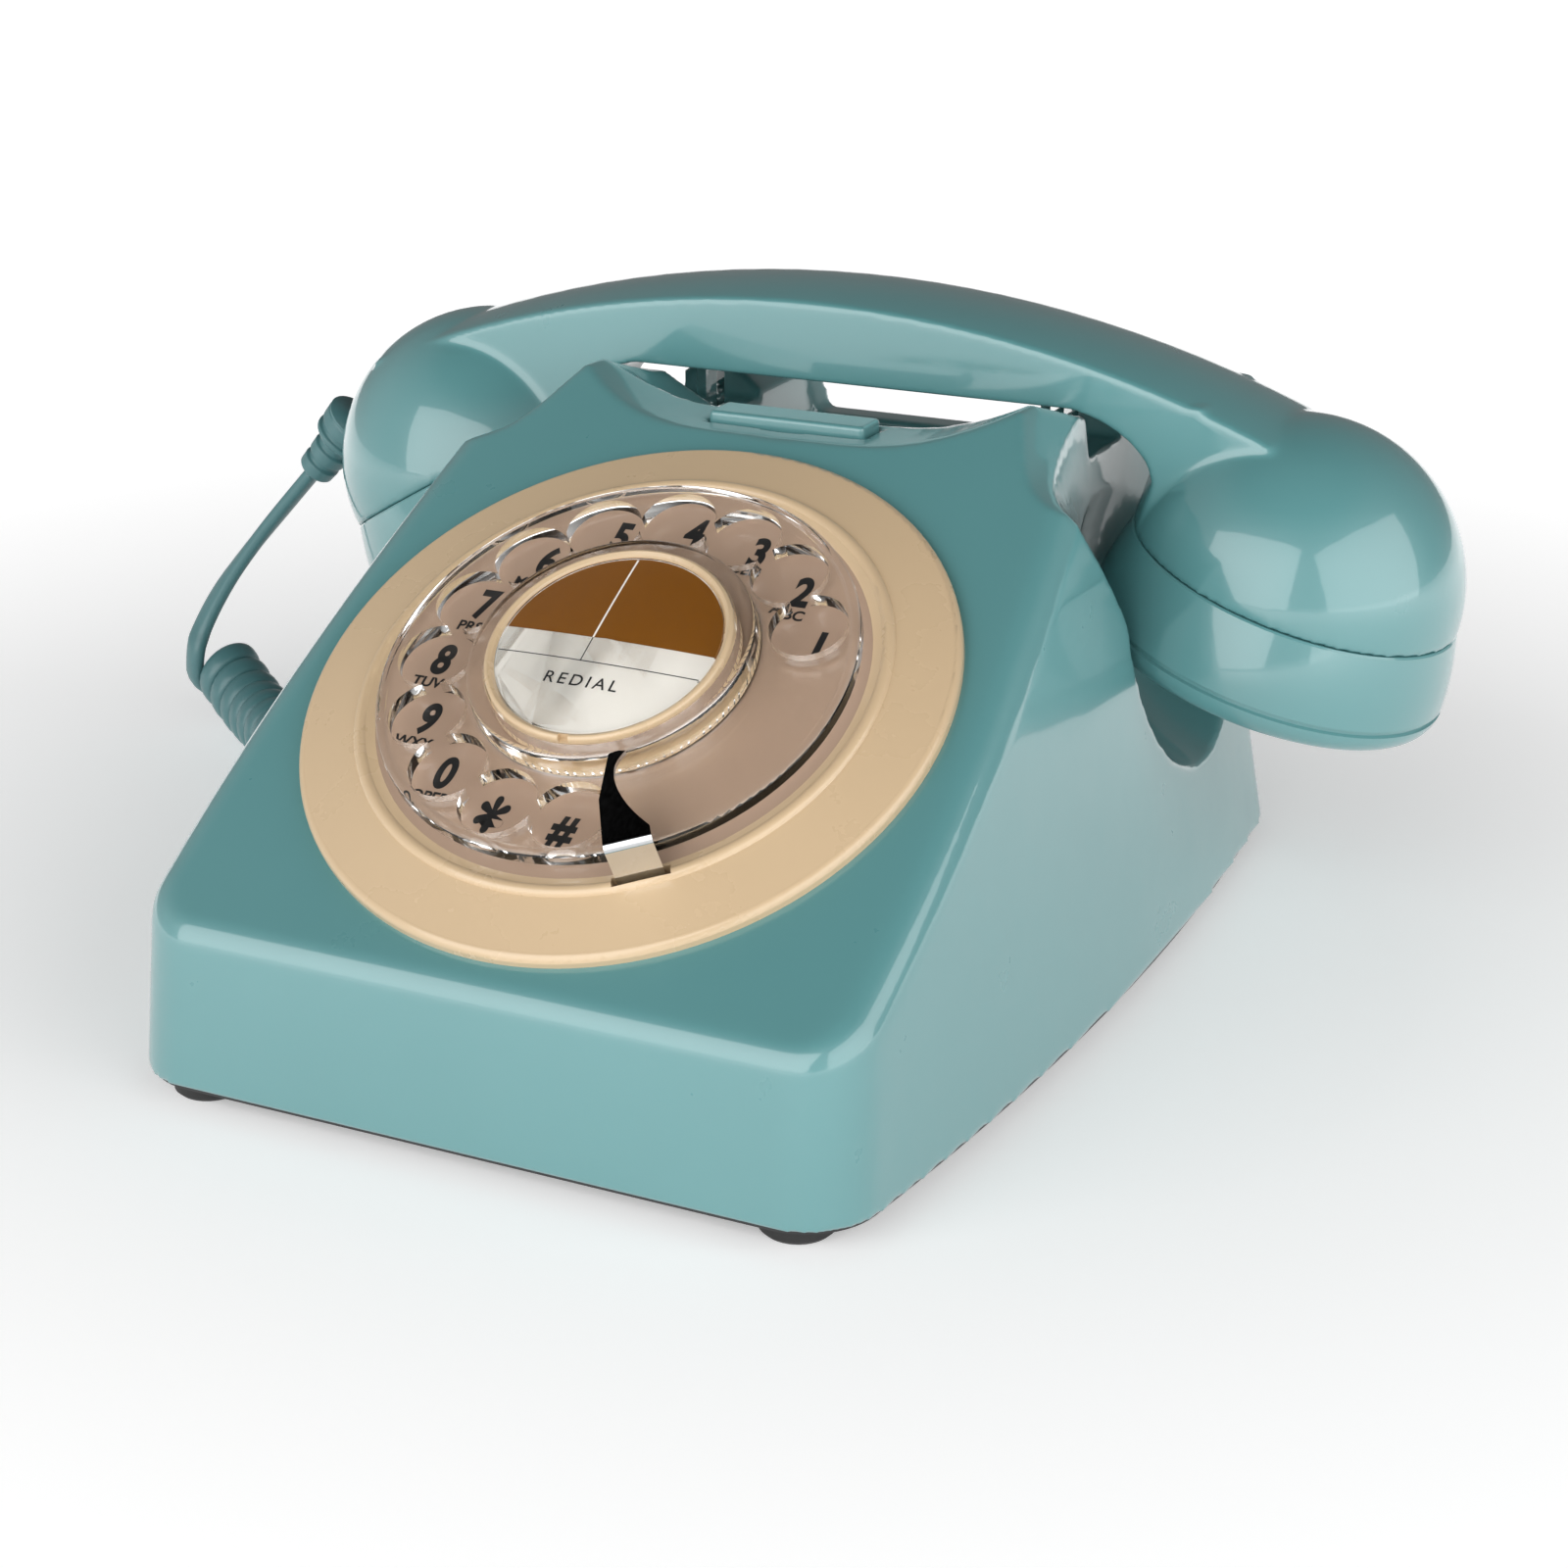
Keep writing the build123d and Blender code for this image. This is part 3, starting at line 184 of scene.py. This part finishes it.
def plastic(name, colour, roughness=0.3, coat=1.0, grain=900.0, relief=0.03, worn=1.18):
    """Moulded plastic: slight colour drift, fine orange-peel relief, and edges rubbed a little lighter."""
    material, tree, shader = new_material(name)
    drift = ramp(tree, noise(tree, PLASTIC_DRIFT_SCALE), scaled(colour, 0.975), scaled(colour, 1.02))
    geometry = node(tree, "ShaderNodeNewGeometry")
    edge = ramp(tree, geometry.outputs["Pointiness"], 0.0, 1.0, EDGE_WEAR_FROM, EDGE_WEAR_TO)
    mix = node(tree, "ShaderNodeMix", data_type="RGBA")
    tree.links.new(edge, mix.inputs["Factor"])
    tree.links.new(drift, mix.inputs["A"])
    mix.inputs["B"].default_value = as_colour(scaled(colour, worn))
    tree.links.new(mix.outputs["Result"], shader.inputs["Base Color"])
    rub = ramp(tree, noise(tree, PLASTIC_RUB_SCALE, 5.0), roughness - 0.03, roughness + 0.05)
    tree.links.new(rub, shader.inputs["Roughness"])
    shader.inputs["Coat Weight"].default_value = coat
    shader.inputs["Coat Roughness"].default_value = PLASTIC_COAT_ROUGHNESS
    shader.inputs["Coat IOR"].default_value = PLASTIC_COAT_IOR
    shader.inputs["Specular IOR Level"].default_value = PLASTIC_SPECULAR
    bump(tree, shader, noise(tree, grain, 2.0), relief, RELIEF_DEPTH)
    return material


def metal(name, colour, roughness, stretch, relief=0.04):
    """Metal with fine marks drawn out along one way."""
    material, tree, shader = new_material(name)
    shade = ramp(tree, noise(tree, 40.0, 4.0), scaled(colour, 0.93), scaled(colour, 1.05))
    tree.links.new(shade, shader.inputs["Base Color"])
    shader.inputs["Metallic"].default_value = 1.0
    marks = noise(tree, METAL_MARK_SCALE, 3.0, stretch=stretch)
    tree.links.new(ramp(tree, marks, roughness * 0.7, roughness * 1.4), shader.inputs["Roughness"])
    bump(tree, shader, marks, relief, METAL_RELIEF_DEPTH)
    return material


def clear_plastic(name):
    """Clear polished plastic. Light from lamps passes it, so what is under it stays bright."""
    material, tree, shader = new_material(name)
    shader.inputs["Base Color"].default_value = as_colour(CLEAR_TINT)
    shader.inputs["Transmission Weight"].default_value = 1.0
    shader.inputs["IOR"].default_value = CLEAR_IOR
    hazy = ramp(tree, noise(tree, 90.0, 4.0), CLEAR_ROUGHNESS, CLEAR_ROUGHNESS + 0.05)
    tree.links.new(hazy, shader.inputs["Roughness"])
    bump(tree, shader, noise(tree, 220.0, 2.0), 0.02, RELIEF_DEPTH)
    through = node(tree, "ShaderNodeBsdfTransparent")
    through.inputs["Color"].default_value = as_colour(CLEAR_SHADOW)
    path = node(tree, "ShaderNodeLightPath")
    mix = node(tree, "ShaderNodeMixShader")
    output = tree.nodes["Material Output"]
    tree.links.new(path.outputs["Is Shadow Ray"], mix.inputs["Fac"])
    tree.links.new(shader.outputs["BSDF"], mix.inputs[1])
    tree.links.new(through.outputs["BSDF"], mix.inputs[2])
    tree.links.new(mix.outputs["Shader"], output.inputs["Surface"])
    return material


def rubber(name, colour):
    """Matt rubber or flexible plastic with a fine grain."""
    material, tree, shader = new_material(name)
    shade = ramp(tree, noise(tree, 80.0, 4.0), scaled(colour, 0.88), scaled(colour, 1.12))
    tree.links.new(shade, shader.inputs["Base Color"])
    rub = ramp(tree, noise(tree, 300.0, 3.0), RUBBER_ROUGHNESS - 0.08, RUBBER_ROUGHNESS + 0.08)
    tree.links.new(rub, shader.inputs["Roughness"])
    bump(tree, shader, noise(tree, 1600.0, 2.0), 0.12, RELIEF_DEPTH)
    return material


TEAL = (0.112, 0.290, 0.298)
TEAL_CORD = (0.075, 0.185, 0.195)
CREAM = (0.640, 0.475, 0.295)
TAUPE = (0.395, 0.275, 0.200)

looks = {
    "teal_plastic": plastic("teal_plastic", TEAL, 0.30, 1.0, worn=1.3),
    "teal_cord": plastic("teal_cord", TEAL_CORD, 0.40, 0.15, grain=1500.0, relief=0.06, worn=1.1),
    "cream_plastic": plastic("cream_plastic", CREAM, 0.28, 0.4, worn=1.06),
    "taupe_plastic": plastic("taupe_plastic", TAUPE, 0.33, 0.2, worn=1.05),
    "clear_plastic": clear_plastic("clear_plastic"),
    "black_plastic": plastic("black_plastic", (0.022, 0.022, 0.023), 0.45, 0.1, relief=0.08, worn=1.6),
    "grey_rubber": rubber("grey_rubber", (0.018, 0.018, 0.018)),
    "polished_steel": metal("polished_steel", (0.70, 0.71, 0.72), 0.10, (8.0, 1.0, 1.0), relief=0.02),
    "steel": metal("steel", (0.52, 0.53, 0.54), 0.32, (1.0, 9.0, 1.0)),
    "brass": metal("brass", (0.68, 0.50, 0.22), 0.28, (1.0, 6.0, 1.0)),
    "bell_metal": metal("bell_metal", (0.66, 0.56, 0.33), 0.22, (1.0, 1.0, 12.0)),
    "copper_coil": metal("copper_coil", (0.62, 0.26, 0.12), 0.40, (30.0, 1.0, 1.0), relief=0.3),
    "board_green": plastic("board_green", (0.03, 0.16, 0.07), 0.35, 0.3, relief=0.1, worn=1.3),
}
print_black = plastic("print_black", (0.012, 0.012, 0.012), 0.40, 0.0, worn=1.2)
print_white = plastic("print_white", (0.90, 0.87, 0.81), 0.50, 0.0, worn=1.02)
print_brown = plastic("print_brown", (0.190, 0.066, 0.001), 0.42, 0.1, worn=1.1)
looks["label_print"] = print_white

for entry in record["subparts"]:
    cad_node = nodes[entry["node"]]
    cad_node.data.materials.clear()
    cad_node.data.materials.append(looks[entry["material_slot"]])


# ---------------------------------------------------------------- helpers for new pieces
def add_piece(name, mesh, slot, body, material=None):
    """Links a new mesh as a piece that rides on a body and takes its finish from a slot."""
    piece = bpy.data.objects.new(name, mesh)
    bpy.context.collection.objects.link(piece)
    mesh.materials.clear()
    mesh.materials.append(material or looks[slot])
    if body:
        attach(piece, body)
    return piece


def applied(source, name):
    """A new mesh holding what an object shows with its modifiers."""
    bpy.context.view_layer.update()
    shown = source.evaluated_get(bpy.context.evaluated_depsgraph_get())
    mesh = bpy.data.meshes.new_from_object(shown)
    mesh.name = name
    return mesh


def smooth_faces(mesh):
    """Smooth shading all over."""
    mesh.polygons.foreach_set("use_smooth", [True] * len(mesh.polygons))


WELD_DISTANCE = 0.01 * MM


def moulded(name, node_name, voxel, rounds):
    """A CAD shell with its sharp edges rounded as a mould rounds them."""
    work = bpy.data.objects.new(name + "_work", nodes[node_name].data.copy())
    bpy.context.collection.objects.link(work)
    weld = work.modifiers.new("weld", "WELD")
    weld.merge_threshold = WELD_DISTANCE
    remesh = work.modifiers.new("remesh", "REMESH")
    remesh.mode = "VOXEL"
    remesh.voxel_size = voxel
    soften = work.modifiers.new("soften", "SMOOTH")
    soften.factor = 0.5
    soften.iterations = rounds
    mesh = applied(work, name)
    bpy.data.objects.remove(work)
    smooth_faces(mesh)
    return mesh


def closed_tube(name, rings):
    """A closed smooth tube through rings of points that all have the same count."""
    built = bmesh.new()
    placed = [[built.verts.new(point) for point in ring] for ring in rings]
    count = len(rings[0])
    for first, second in zip(placed, placed[1:]):
        for side in range(count):
            other = (side + 1) % count
            built.faces.new((first[side], first[other], second[other], second[side]))
    built.faces.new(list(reversed(placed[0])))
    built.faces.new(placed[-1])
    bmesh.ops.recalc_face_normals(built, faces=built.faces)
    mesh = bpy.data.meshes.new(name)
    built.to_mesh(mesh)
    built.free()
    smooth_faces(mesh)
    return mesh


# ---------------------------------------------------------------- handset cord
CORD_WIDTH = 5.0 * MM
CORD_THICKNESS = 3.2 * MM
COIL_RADIUS = 7.5 * MM
COIL_TURNS = 13
FIRST_TURN_RADIUS = 6.6 * MM
TURN_STEPS = 40
LEAD_STEPS = 60
CORD_SIDES = 14
CORD_SQUARENESS = 0.8
COIL_LEAD_IN = 5.0 * MM
COIL_LET_OUT_START = 4.0 * MM
COIL_LET_OUT = 22.0 * MM
EDGE_ON = Vector((0.40, -0.84, 0.36))
COIL_ROUTE = [
    (-0.1590, 0.0556, 0.0153),
    (-0.1478, 0.0503, 0.0084),
    (-0.1340, 0.0405, 0.0076),
    (-0.1195, 0.0284, 0.0076),
    (-0.1042, 0.0148, 0.0076),
]
TAIL_ROUTE = [
    (-0.1042, 0.0148, 0.0076),
    (-0.0965, 0.0086, 0.0086),
    (-0.0870, 0.0032, 0.0113),
    (-0.0770, 0.0030, 0.0115),
]
LEAD_ROUTE = [
    (-0.1321, 0.0575, 0.0618),
    (-0.1403, 0.0573, 0.0530),
    (-0.1493, 0.0560, 0.0426),
    (-0.1562, 0.0538, 0.0330),
    (-0.1606, 0.0514, 0.0240),
]


def spline_line(points, steps=24):
    """Points read from a smooth NURBS spline along the given control points."""
    curve = bpy.data.curves.new("route", "CURVE")
    curve.dimensions = "3D"
    curve.resolution_u = steps
    line = curve.splines.new("NURBS")
    line.points.add(len(points) - 1)
    for place, point in zip(line.points, points):
        place.co = (*point, 1.0)
    line.order_u = 3
    line.use_endpoint_u = True
    holder = bpy.data.objects.new("route", curve)
    mesh = bpy.data.meshes.new_from_object(holder)
    read = [vertex.co.copy() for vertex in mesh.vertices]
    bpy.data.objects.remove(holder)
    bpy.data.curves.remove(curve)
    bpy.data.meshes.remove(mesh)
    return read


def along(line):
    """Distance from the start at each point of a line."""
    total = [0.0]
    for before, after in zip(line, line[1:]):
        total.append(total[-1] + (after - before).length)
    return total


def resample(line, count):
    """Evenly spaced points along a line."""
    total = along(line)
    result = []
    at = 0
    for step in range(count):
        wanted = total[-1] * step / (count - 1)
        while at < len(total) - 2 and total[at + 1] < wanted:
            at += 1
        span = total[at + 1] - total[at]
        share = (wanted - total[at]) / span if span > 0 else 0.0
        result.append(line[at].lerp(line[at + 1], min(max(share, 0.0), 1.0)))
    return result


def eased(value):
    """A smooth step from 0 to 1."""
    value = min(max(value, 0.0), 1.0)
    return value * value * (3.0 - 2.0 * value)


def helix_line():
    """The coil and the tail: the axis spline with turns wound round it, which are then let out straight."""
    axis = resample(spline_line(COIL_ROUTE + TAIL_ROUTE[1:]), TURN_STEPS * COIL_TURNS)
    total = along(axis)
    coil_length = along(spline_line(COIL_ROUTE))[-1]
    pitch = coil_length / COIL_TURNS
    wound = COIL_RADIUS - CORD_THICKNESS / 2
    points, wides = [], []
    for index, place in enumerate(axis):
        ahead = axis[min(index + 1, len(axis) - 1)] - axis[max(index - 1, 0)]
        ahead.normalize()
        raised = (Vector((0, 0, 1)) - ahead * ahead.z).normalized()
        front = ahead.cross(raised).normalized()
        turn = -2 * math.pi * total[index] / pitch
        radius = wound + (FIRST_TURN_RADIUS - wound) * (1 - eased(total[index] / (0.6 * pitch)))
        radius *= 1 - eased((total[index] - coil_length + COIL_LET_OUT_START) / COIL_LET_OUT)
        points.append(place + radius * (math.cos(turn) * front + math.sin(turn) * raised))
        wides.append(ahead)
    return points, wides


def cord_line():
    """Every point of the cord's centreline, and the way its wide side faces at each."""
    wound, wound_wides = helix_line()
    entry = (wound[0] - wound[1]).normalized()
    lead = spline_line(LEAD_ROUTE + [tuple(wound[0] + entry * COIL_LEAD_IN), tuple(wound[0])])
    lead = resample(lead, LEAD_STEPS)
    wides = []
    for index in range(len(lead)):
        share = eased(index / (len(lead) - 1) * 1.2 - 0.2)
        wides.append(EDGE_ON.lerp(wound_wides[0], share).normalized())
    return lead + wound[1:], wides + wound_wides[1:]


def ribbon_tube(name, line, wides, width, thickness):
    """A closed tube with a rounded flat section that follows a line."""
    rings = []
    for index, place in enumerate(line):
        ahead = (line[min(index + 1, len(line) - 1)] - line[max(index - 1, 0)]).normalized()
        across = (wides[index] - ahead * wides[index].dot(ahead)).normalized()
        out = ahead.cross(across)
        ring = []
        for side in range(CORD_SIDES):
            turn = 2 * math.pi * side / CORD_SIDES
            x = math.copysign(abs(math.cos(turn)) ** CORD_SQUARENESS, math.cos(turn))
            y = math.copysign(abs(math.sin(turn)) ** CORD_SQUARENESS, math.sin(turn))
            ring.append(place + across * x * width / 2 + out * y * thickness / 2)
        rings.append(ring)
    return closed_tube(name, rings)


BOOT_LENGTH = 17.0 * MM
BOOT_BASE_RADIUS = 5.0 * MM
BOOT_TIP_RADIUS = 3.9 * MM
BOOT_GROOVE = 0.7 * MM
BOOT_GROOVES = 4
BOOT_COLLAR = 1.6 * MM
BOOT_STEPS = 96
BOOT_SIDES = 40


def boot_radius(share):
    """The strain relief's radius at a share of its length: a collar, a taper with grooves, a rounded tip."""
    radius = BOOT_BASE_RADIUS + (BOOT_TIP_RADIUS - BOOT_BASE_RADIUS) * share
    radius += BOOT_COLLAR * (1 - eased((share - 0.34) / 0.10))
    wave = math.sin(math.pi * (share * 2 * BOOT_GROOVES + 0.5))
    radius -= BOOT_GROOVE * eased((wave - 0.2) / 0.5) * eased(share / 0.1) * eased((1 - share) / 0.1)
    return radius * (1 - 0.25 * eased((share - 0.96) / 0.04))


def boot_mesh(name):
    """The ribbed strain relief, from inside the cup to where the cord comes out."""
    tip = Vector(LEAD_ROUTE[0])
    ahead = (Vector(LEAD_ROUTE[1]) - tip).normalized()
    side = ahead.cross(Vector((0, 1, 0))).normalized()
    lift = side.cross(ahead)
    rings = []
    for step in range(BOOT_STEPS + 1):
        share = step / BOOT_STEPS
        radius = boot_radius(share)
        place = tip - ahead * BOOT_LENGTH * (1 - share)
        turns = [2 * math.pi * corner / BOOT_SIDES for corner in range(BOOT_SIDES)]
        rings.append([place + (side * math.cos(turn) + lift * math.sin(turn)) * radius for turn in turns])
    return closed_tube(name, rings)


def make_cord():
    """The curly handset cord in one piece, from the strain relief to the plug."""
    line, wides = cord_line()
    mesh = ribbon_tube("handset_cord", line, wides, CORD_WIDTH, CORD_THICKNESS)
    boot = add_piece("handset_boot", boot_mesh("handset_boot"), "teal_cord", "handset_body")
    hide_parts("handset_strain_relief")
    cord = add_piece("handset_cord", mesh, "teal_cord", None)
    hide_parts("handset_cord_lead", "handset_cord_coil", "handset_cord_tail")
    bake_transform(cord)


make_cord()

# ---------------------------------------------------------------- moulded shells
CASE_VOXEL = 0.8 * MM
CASE_ROUNDS = 4
HANDSET_VOXEL = 0.6 * MM
HANDSET_ROUNDS = 14
case_mesh = moulded("case_moulding", "case_shell", CASE_VOXEL, CASE_ROUNDS)
case = add_piece("case_moulding", case_mesh, "teal_plastic", "base")
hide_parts("case_shell")
handset_mesh = moulded("handset_moulding", "handset_shell", HANDSET_VOXEL, HANDSET_ROUNDS)
handset = add_piece("handset_moulding", handset_mesh, "teal_plastic", "handset_body")
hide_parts("handset_shell")


# ---------------------------------------------------------------- dial printing
# Sizes and places on the dial's face are in millimetres and degrees.
NUMERAL_RADIUS = 33.3
NUMERAL_START = 21.5
NUMERAL_STEP = 23.3
NUMERAL_SIZE = 8.9
NUMERAL_NARROWING = 0.76
STAR_SIZE = 16.0
LETTER_SIZE = 3.0
LETTER_SHIFT = (-0.6, -5.0)
NUMERAL_WEIGHT = 0.34
LETTER_WEIGHT = 0.07
PLATE_TOP = 4.2
PRINT_LIFT = 0.03
PRINT_THICKNESS = 0.02
FONT_STEPS = 6
KEYS = [
    ("1", ""),
    ("2", "ABC"),
    ("3", "DEF"),
    ("4", "GHI"),
    ("5", "JKL"),
    ("6", "MNO"),
    ("7", "PRS"),
    ("8", "TUV"),
    ("9", "WXY"),
    ("0", "OPER"),
    ("*", ""),
    ("#", ""),
]


def text_mesh(words, size, weight, spacing=1.0):
    """Flat raised lettering, centred, in its own plane, in metres."""
    curve = bpy.data.curves.new("text", "FONT")
    curve.body = words
    curve.size = size
    curve.offset = weight
    curve.space_character = spacing
    curve.align_x = "CENTER"
    curve.align_y = "CENTER"
    curve.extrude = PRINT_THICKNESS * MM
    curve.resolution_u = FONT_STEPS
    holder = bpy.data.objects.new("text", curve)
    mesh = bpy.data.meshes.new_from_object(holder)
    bpy.data.objects.remove(holder)
    return mesh


def centre_flat(mesh):
    """Moves a flat mesh so that the box round it is centred on the origin."""
    across = [vertex.co.x for vertex in mesh.vertices]
    up = [vertex.co.y for vertex in mesh.vertices]
    middle = ((min(across) + max(across)) / 2, (min(up) + max(up)) / 2)
    mesh.transform(Matrix.Translation((-middle[0], -middle[1], 0)))


def joined(name, meshes_and_places):
    """One mesh from several meshes, each moved by its own matrix."""
    built = bmesh.new()
    for mesh, place in meshes_and_places:
        copy = mesh.copy()
        copy.transform(place)
        built.from_mesh(copy)
        bpy.data.meshes.remove(copy)
    result = bpy.data.meshes.new(name)
    built.to_mesh(result)
    built.free()
    return result


def on_dial(across, along_face, above):
    """Places a flat mesh on the dial's face, reading upright."""
    return DIAL_MATRIX @ Matrix.Translation(Vector((across, along_face, above)) * MM)


def make_numerals():
    """The dial's numbers and letters, printed on the number plate under the finger holes."""
    placed = []
    narrow = Matrix.Diagonal((NUMERAL_NARROWING, 1, 1, 1))
    for index, (numeral, letters) in enumerate(KEYS):
        angle = math.radians(NUMERAL_START + NUMERAL_STEP * index)
        across = NUMERAL_RADIUS * math.cos(angle)
        up = NUMERAL_RADIUS * math.sin(angle)
        size = STAR_SIZE if numeral == "*" else NUMERAL_SIZE
        figure = text_mesh(numeral, size * MM, NUMERAL_WEIGHT * MM)
        if numeral == "*":
            centre_flat(figure)
        placed.append((figure, on_dial(across, up, PLATE_TOP + PRINT_LIFT) @ narrow))
        if letters:
            small = text_mesh(letters, LETTER_SIZE * MM, LETTER_WEIGHT * MM)
            beside = (across + LETTER_SHIFT[0], up + LETTER_SHIFT[1])
            placed.append((small, on_dial(*beside, PLATE_TOP + PRINT_LIFT)))
    add_piece("dial_numerals", joined("dial_numerals", placed), "taupe_plastic", "base", print_black)


make_numerals()


# ---------------------------------------------------------------- label under the clear button
LABEL_RADIUS = 19.3
LABEL_TOP = 11.8
LABEL_SPLIT = 0.6
LABEL_RULE = -4.5
LABEL_DIVIDER = -3.0
WHITE_RULE_WIDTH = 0.35
DARK_RULE_WIDTH = 0.2
WORD_SIZE = 3.3
WORD_WEIGHT = 0.02
WORD_SPACING = 1.35
WORD_PLACE = (-1.0, -8.8)


def disc_above(low, above):
    """The part of the label's disc above a height along the dial, as one flat face."""
    right = [(math.sqrt(LABEL_RADIUS**2 - low**2), low)]
    for step in range(181):
        turn = math.radians(-90 + step)
        if LABEL_RADIUS * math.sin(turn) >= low:
            right.append((LABEL_RADIUS * math.cos(turn), LABEL_RADIUS * math.sin(turn)))
    left = [(-x, y) for x, y in reversed(right) if x > 0.001]
    corners = [dial_point(x, y, above) for x, y in right + left]
    mesh = bpy.data.meshes.new("disc_above")
    mesh.from_pydata(corners, [], [tuple(range(len(corners)))])
    return mesh


def strip(start, end, width, above):
    """A thin printed line on the label, between two points of the dial's face."""
    first, last = Vector(start), Vector(end)
    side = (last - first).normalized().to_3d().cross(Vector((0, 0, 1))).to_2d() * width / 2
    corners = [first - side, first + side, last + side, last - side]
    mesh = bpy.data.meshes.new("strip")
    mesh.from_pydata([dial_point(x, y, above) for x, y in corners], [], [(0, 1, 2, 3)])
    return mesh


def print_on_card(name, parts, ink):
    """One printed piece on the card, which moves with the middle button."""
    add_piece(name, joined(name, parts), "label_print", "centre_button_body", ink)


def make_label():
    """The two-coloured card under the clear cover: brown above, white below, with thin rules."""
    still = Matrix.Identity(4)
    low_print = LABEL_TOP + 0.03
    word_print = LABEL_TOP + 0.04
    high_print = LABEL_TOP + 0.05
    top = math.sqrt(LABEL_RADIUS**2 - LABEL_DIVIDER**2) - 0.2
    reach = math.sqrt(LABEL_RADIUS**2 - LABEL_RULE**2) - 0.1
    divider_top = (LABEL_DIVIDER, top)
    divider_middle = (LABEL_DIVIDER, LABEL_SPLIT)
    divider_foot = (LABEL_DIVIDER, LABEL_RULE)
    white = strip(divider_middle, divider_top, WHITE_RULE_WIDTH, high_print)
    level = strip((-reach, LABEL_RULE), (reach, LABEL_RULE), DARK_RULE_WIDTH, low_print)
    upright = strip(divider_foot, divider_middle, DARK_RULE_WIDTH, low_print)
    word = text_mesh("REDIAL", WORD_SIZE * MM, WORD_WEIGHT * MM, WORD_SPACING)
    print_on_card("label_brown", [(disc_above(LABEL_SPLIT, low_print), still)], print_brown)
    print_on_card("label_white_rule", [(white, still)], print_white)
    dark = [(level, still), (upright, still), (word, on_dial(*WORD_PLACE, word_print))]
    print_on_card("label_dark_rules", dark, print_black)


make_label()


# ---------------------------------------------------------------- stage and light
FLOOR_REACH = 6.0
GLOW_NEAR = 0.12
GLOW_FAR = 0.6
NEAR_GLOW = 0.30
FAR_GLOW = 0.95
LAMP_TARGET = Vector((0.0, 0.0, 0.06))
LAMP_DISTANCE = 1.1
SKY_STEPS = ((0.0, 0.56), (0.45, 0.50), (0.74, 0.28), (0.88, 0.0))
BEHIND_FROM = -0.2
BEHIND_TO = 0.6
BEHIND_STRENGTH = 0.35


def map_range(tree, source, from_min, from_max, to_min, to_max):
    """Maps a number from one span onto another."""
    made = node(tree, "ShaderNodeMapRange")
    made.inputs["From Min"].default_value = from_min
    made.inputs["From Max"].default_value = from_max
    made.inputs["To Min"].default_value = to_min
    made.inputs["To Max"].default_value = to_max
    tree.links.new(source, made.inputs["Value"])
    return made.outputs["Result"]


def make_floor():
    """A plain pale floor that glows a little more with distance, so that it ends in white."""
    mesh = bpy.data.meshes.new("floor")
    signs = [(-1, -1), (1, -1), (1, 1), (-1, 1)]
    corners = [(x * FLOOR_REACH, y * FLOOR_REACH, 0) for x, y in signs]
    mesh.from_pydata(corners, [], [(0, 1, 2, 3)])
    floor = bpy.data.objects.new("floor", mesh)
    bpy.context.collection.objects.link(floor)
    material, tree, shader = new_material("floor_paper")
    shade = ramp(tree, noise(tree, 3.0), (0.86, 0.86, 0.86), (0.88, 0.88, 0.88))
    tree.links.new(shade, shader.inputs["Base Color"])
    shader.inputs["Roughness"].default_value = 0.9
    shader.inputs["Emission Color"].default_value = as_colour(1.0)
    place = node(tree, "ShaderNodeTexCoord")
    reach = node(tree, "ShaderNodeVectorMath", operation="LENGTH")
    tree.links.new(place.outputs["Object"], reach.inputs[0])
    glow = map_range(tree, reach.outputs["Value"], GLOW_NEAR, GLOW_FAR, NEAR_GLOW, FAR_GLOW)
    tree.links.new(glow, shader.inputs["Emission Strength"])
    mesh.materials.append(material)


def soft_box(name, azimuth, elevation, width, height, power):
    """A large soft lamp, aimed at the telephone. Azimuth 0 is straight in front and 90 is on the right."""
    data = bpy.data.lights.new(name, "AREA")
    data.shape = "RECTANGLE"
    data.size = width
    data.size_y = height
    data.energy = power
    lamp = bpy.data.objects.new(name, data)
    bpy.context.collection.objects.link(lamp)
    turn, lift = math.radians(azimuth), math.radians(elevation)
    away = Vector((math.sin(turn) * math.cos(lift), -math.cos(turn) * math.cos(lift), math.sin(lift)))
    lamp.location = LAMP_TARGET + away * LAMP_DISTANCE
    lamp.rotation_euler = (-away).to_track_quat("-Z", "Y").to_euler()


def make_world():
    """Pale surroundings that darken overhead and behind, as in a studio with a black ceiling."""
    world = bpy.data.worlds.new("studio")
    world.use_nodes = True
    tree = world.node_tree
    place = node(tree, "ShaderNodeTexCoord")
    split = node(tree, "ShaderNodeSeparateXYZ")
    tree.links.new(place.outputs["Generated"], split.inputs["Vector"])
    fade = node(tree, "ShaderNodeValToRGB")
    while len(fade.color_ramp.elements) < len(SKY_STEPS):
        fade.color_ramp.elements.new(0.5)
    for element, (position, brightness) in zip(fade.color_ramp.elements, SKY_STEPS):
        element.position = position
        element.color = as_colour(brightness)
    tree.links.new(split.outputs["Z"], fade.inputs["Fac"])
    background = tree.nodes["Background"]
    tree.links.new(fade.outputs["Color"], background.inputs["Color"])
    strength = map_range(tree, split.outputs["Y"], BEHIND_FROM, BEHIND_TO, 1.0, BEHIND_STRENGTH)
    tree.links.new(strength, background.inputs["Strength"])
    bpy.context.scene.world = world


make_floor()
make_world()
soft_box("box_front", -12, 22, 1.35, 0.95, 8.8)
soft_box("box_right", 75, 18, 1.45, 0.95, 7.8)
bpy.context.scene.view_settings.view_transform = "Standard"
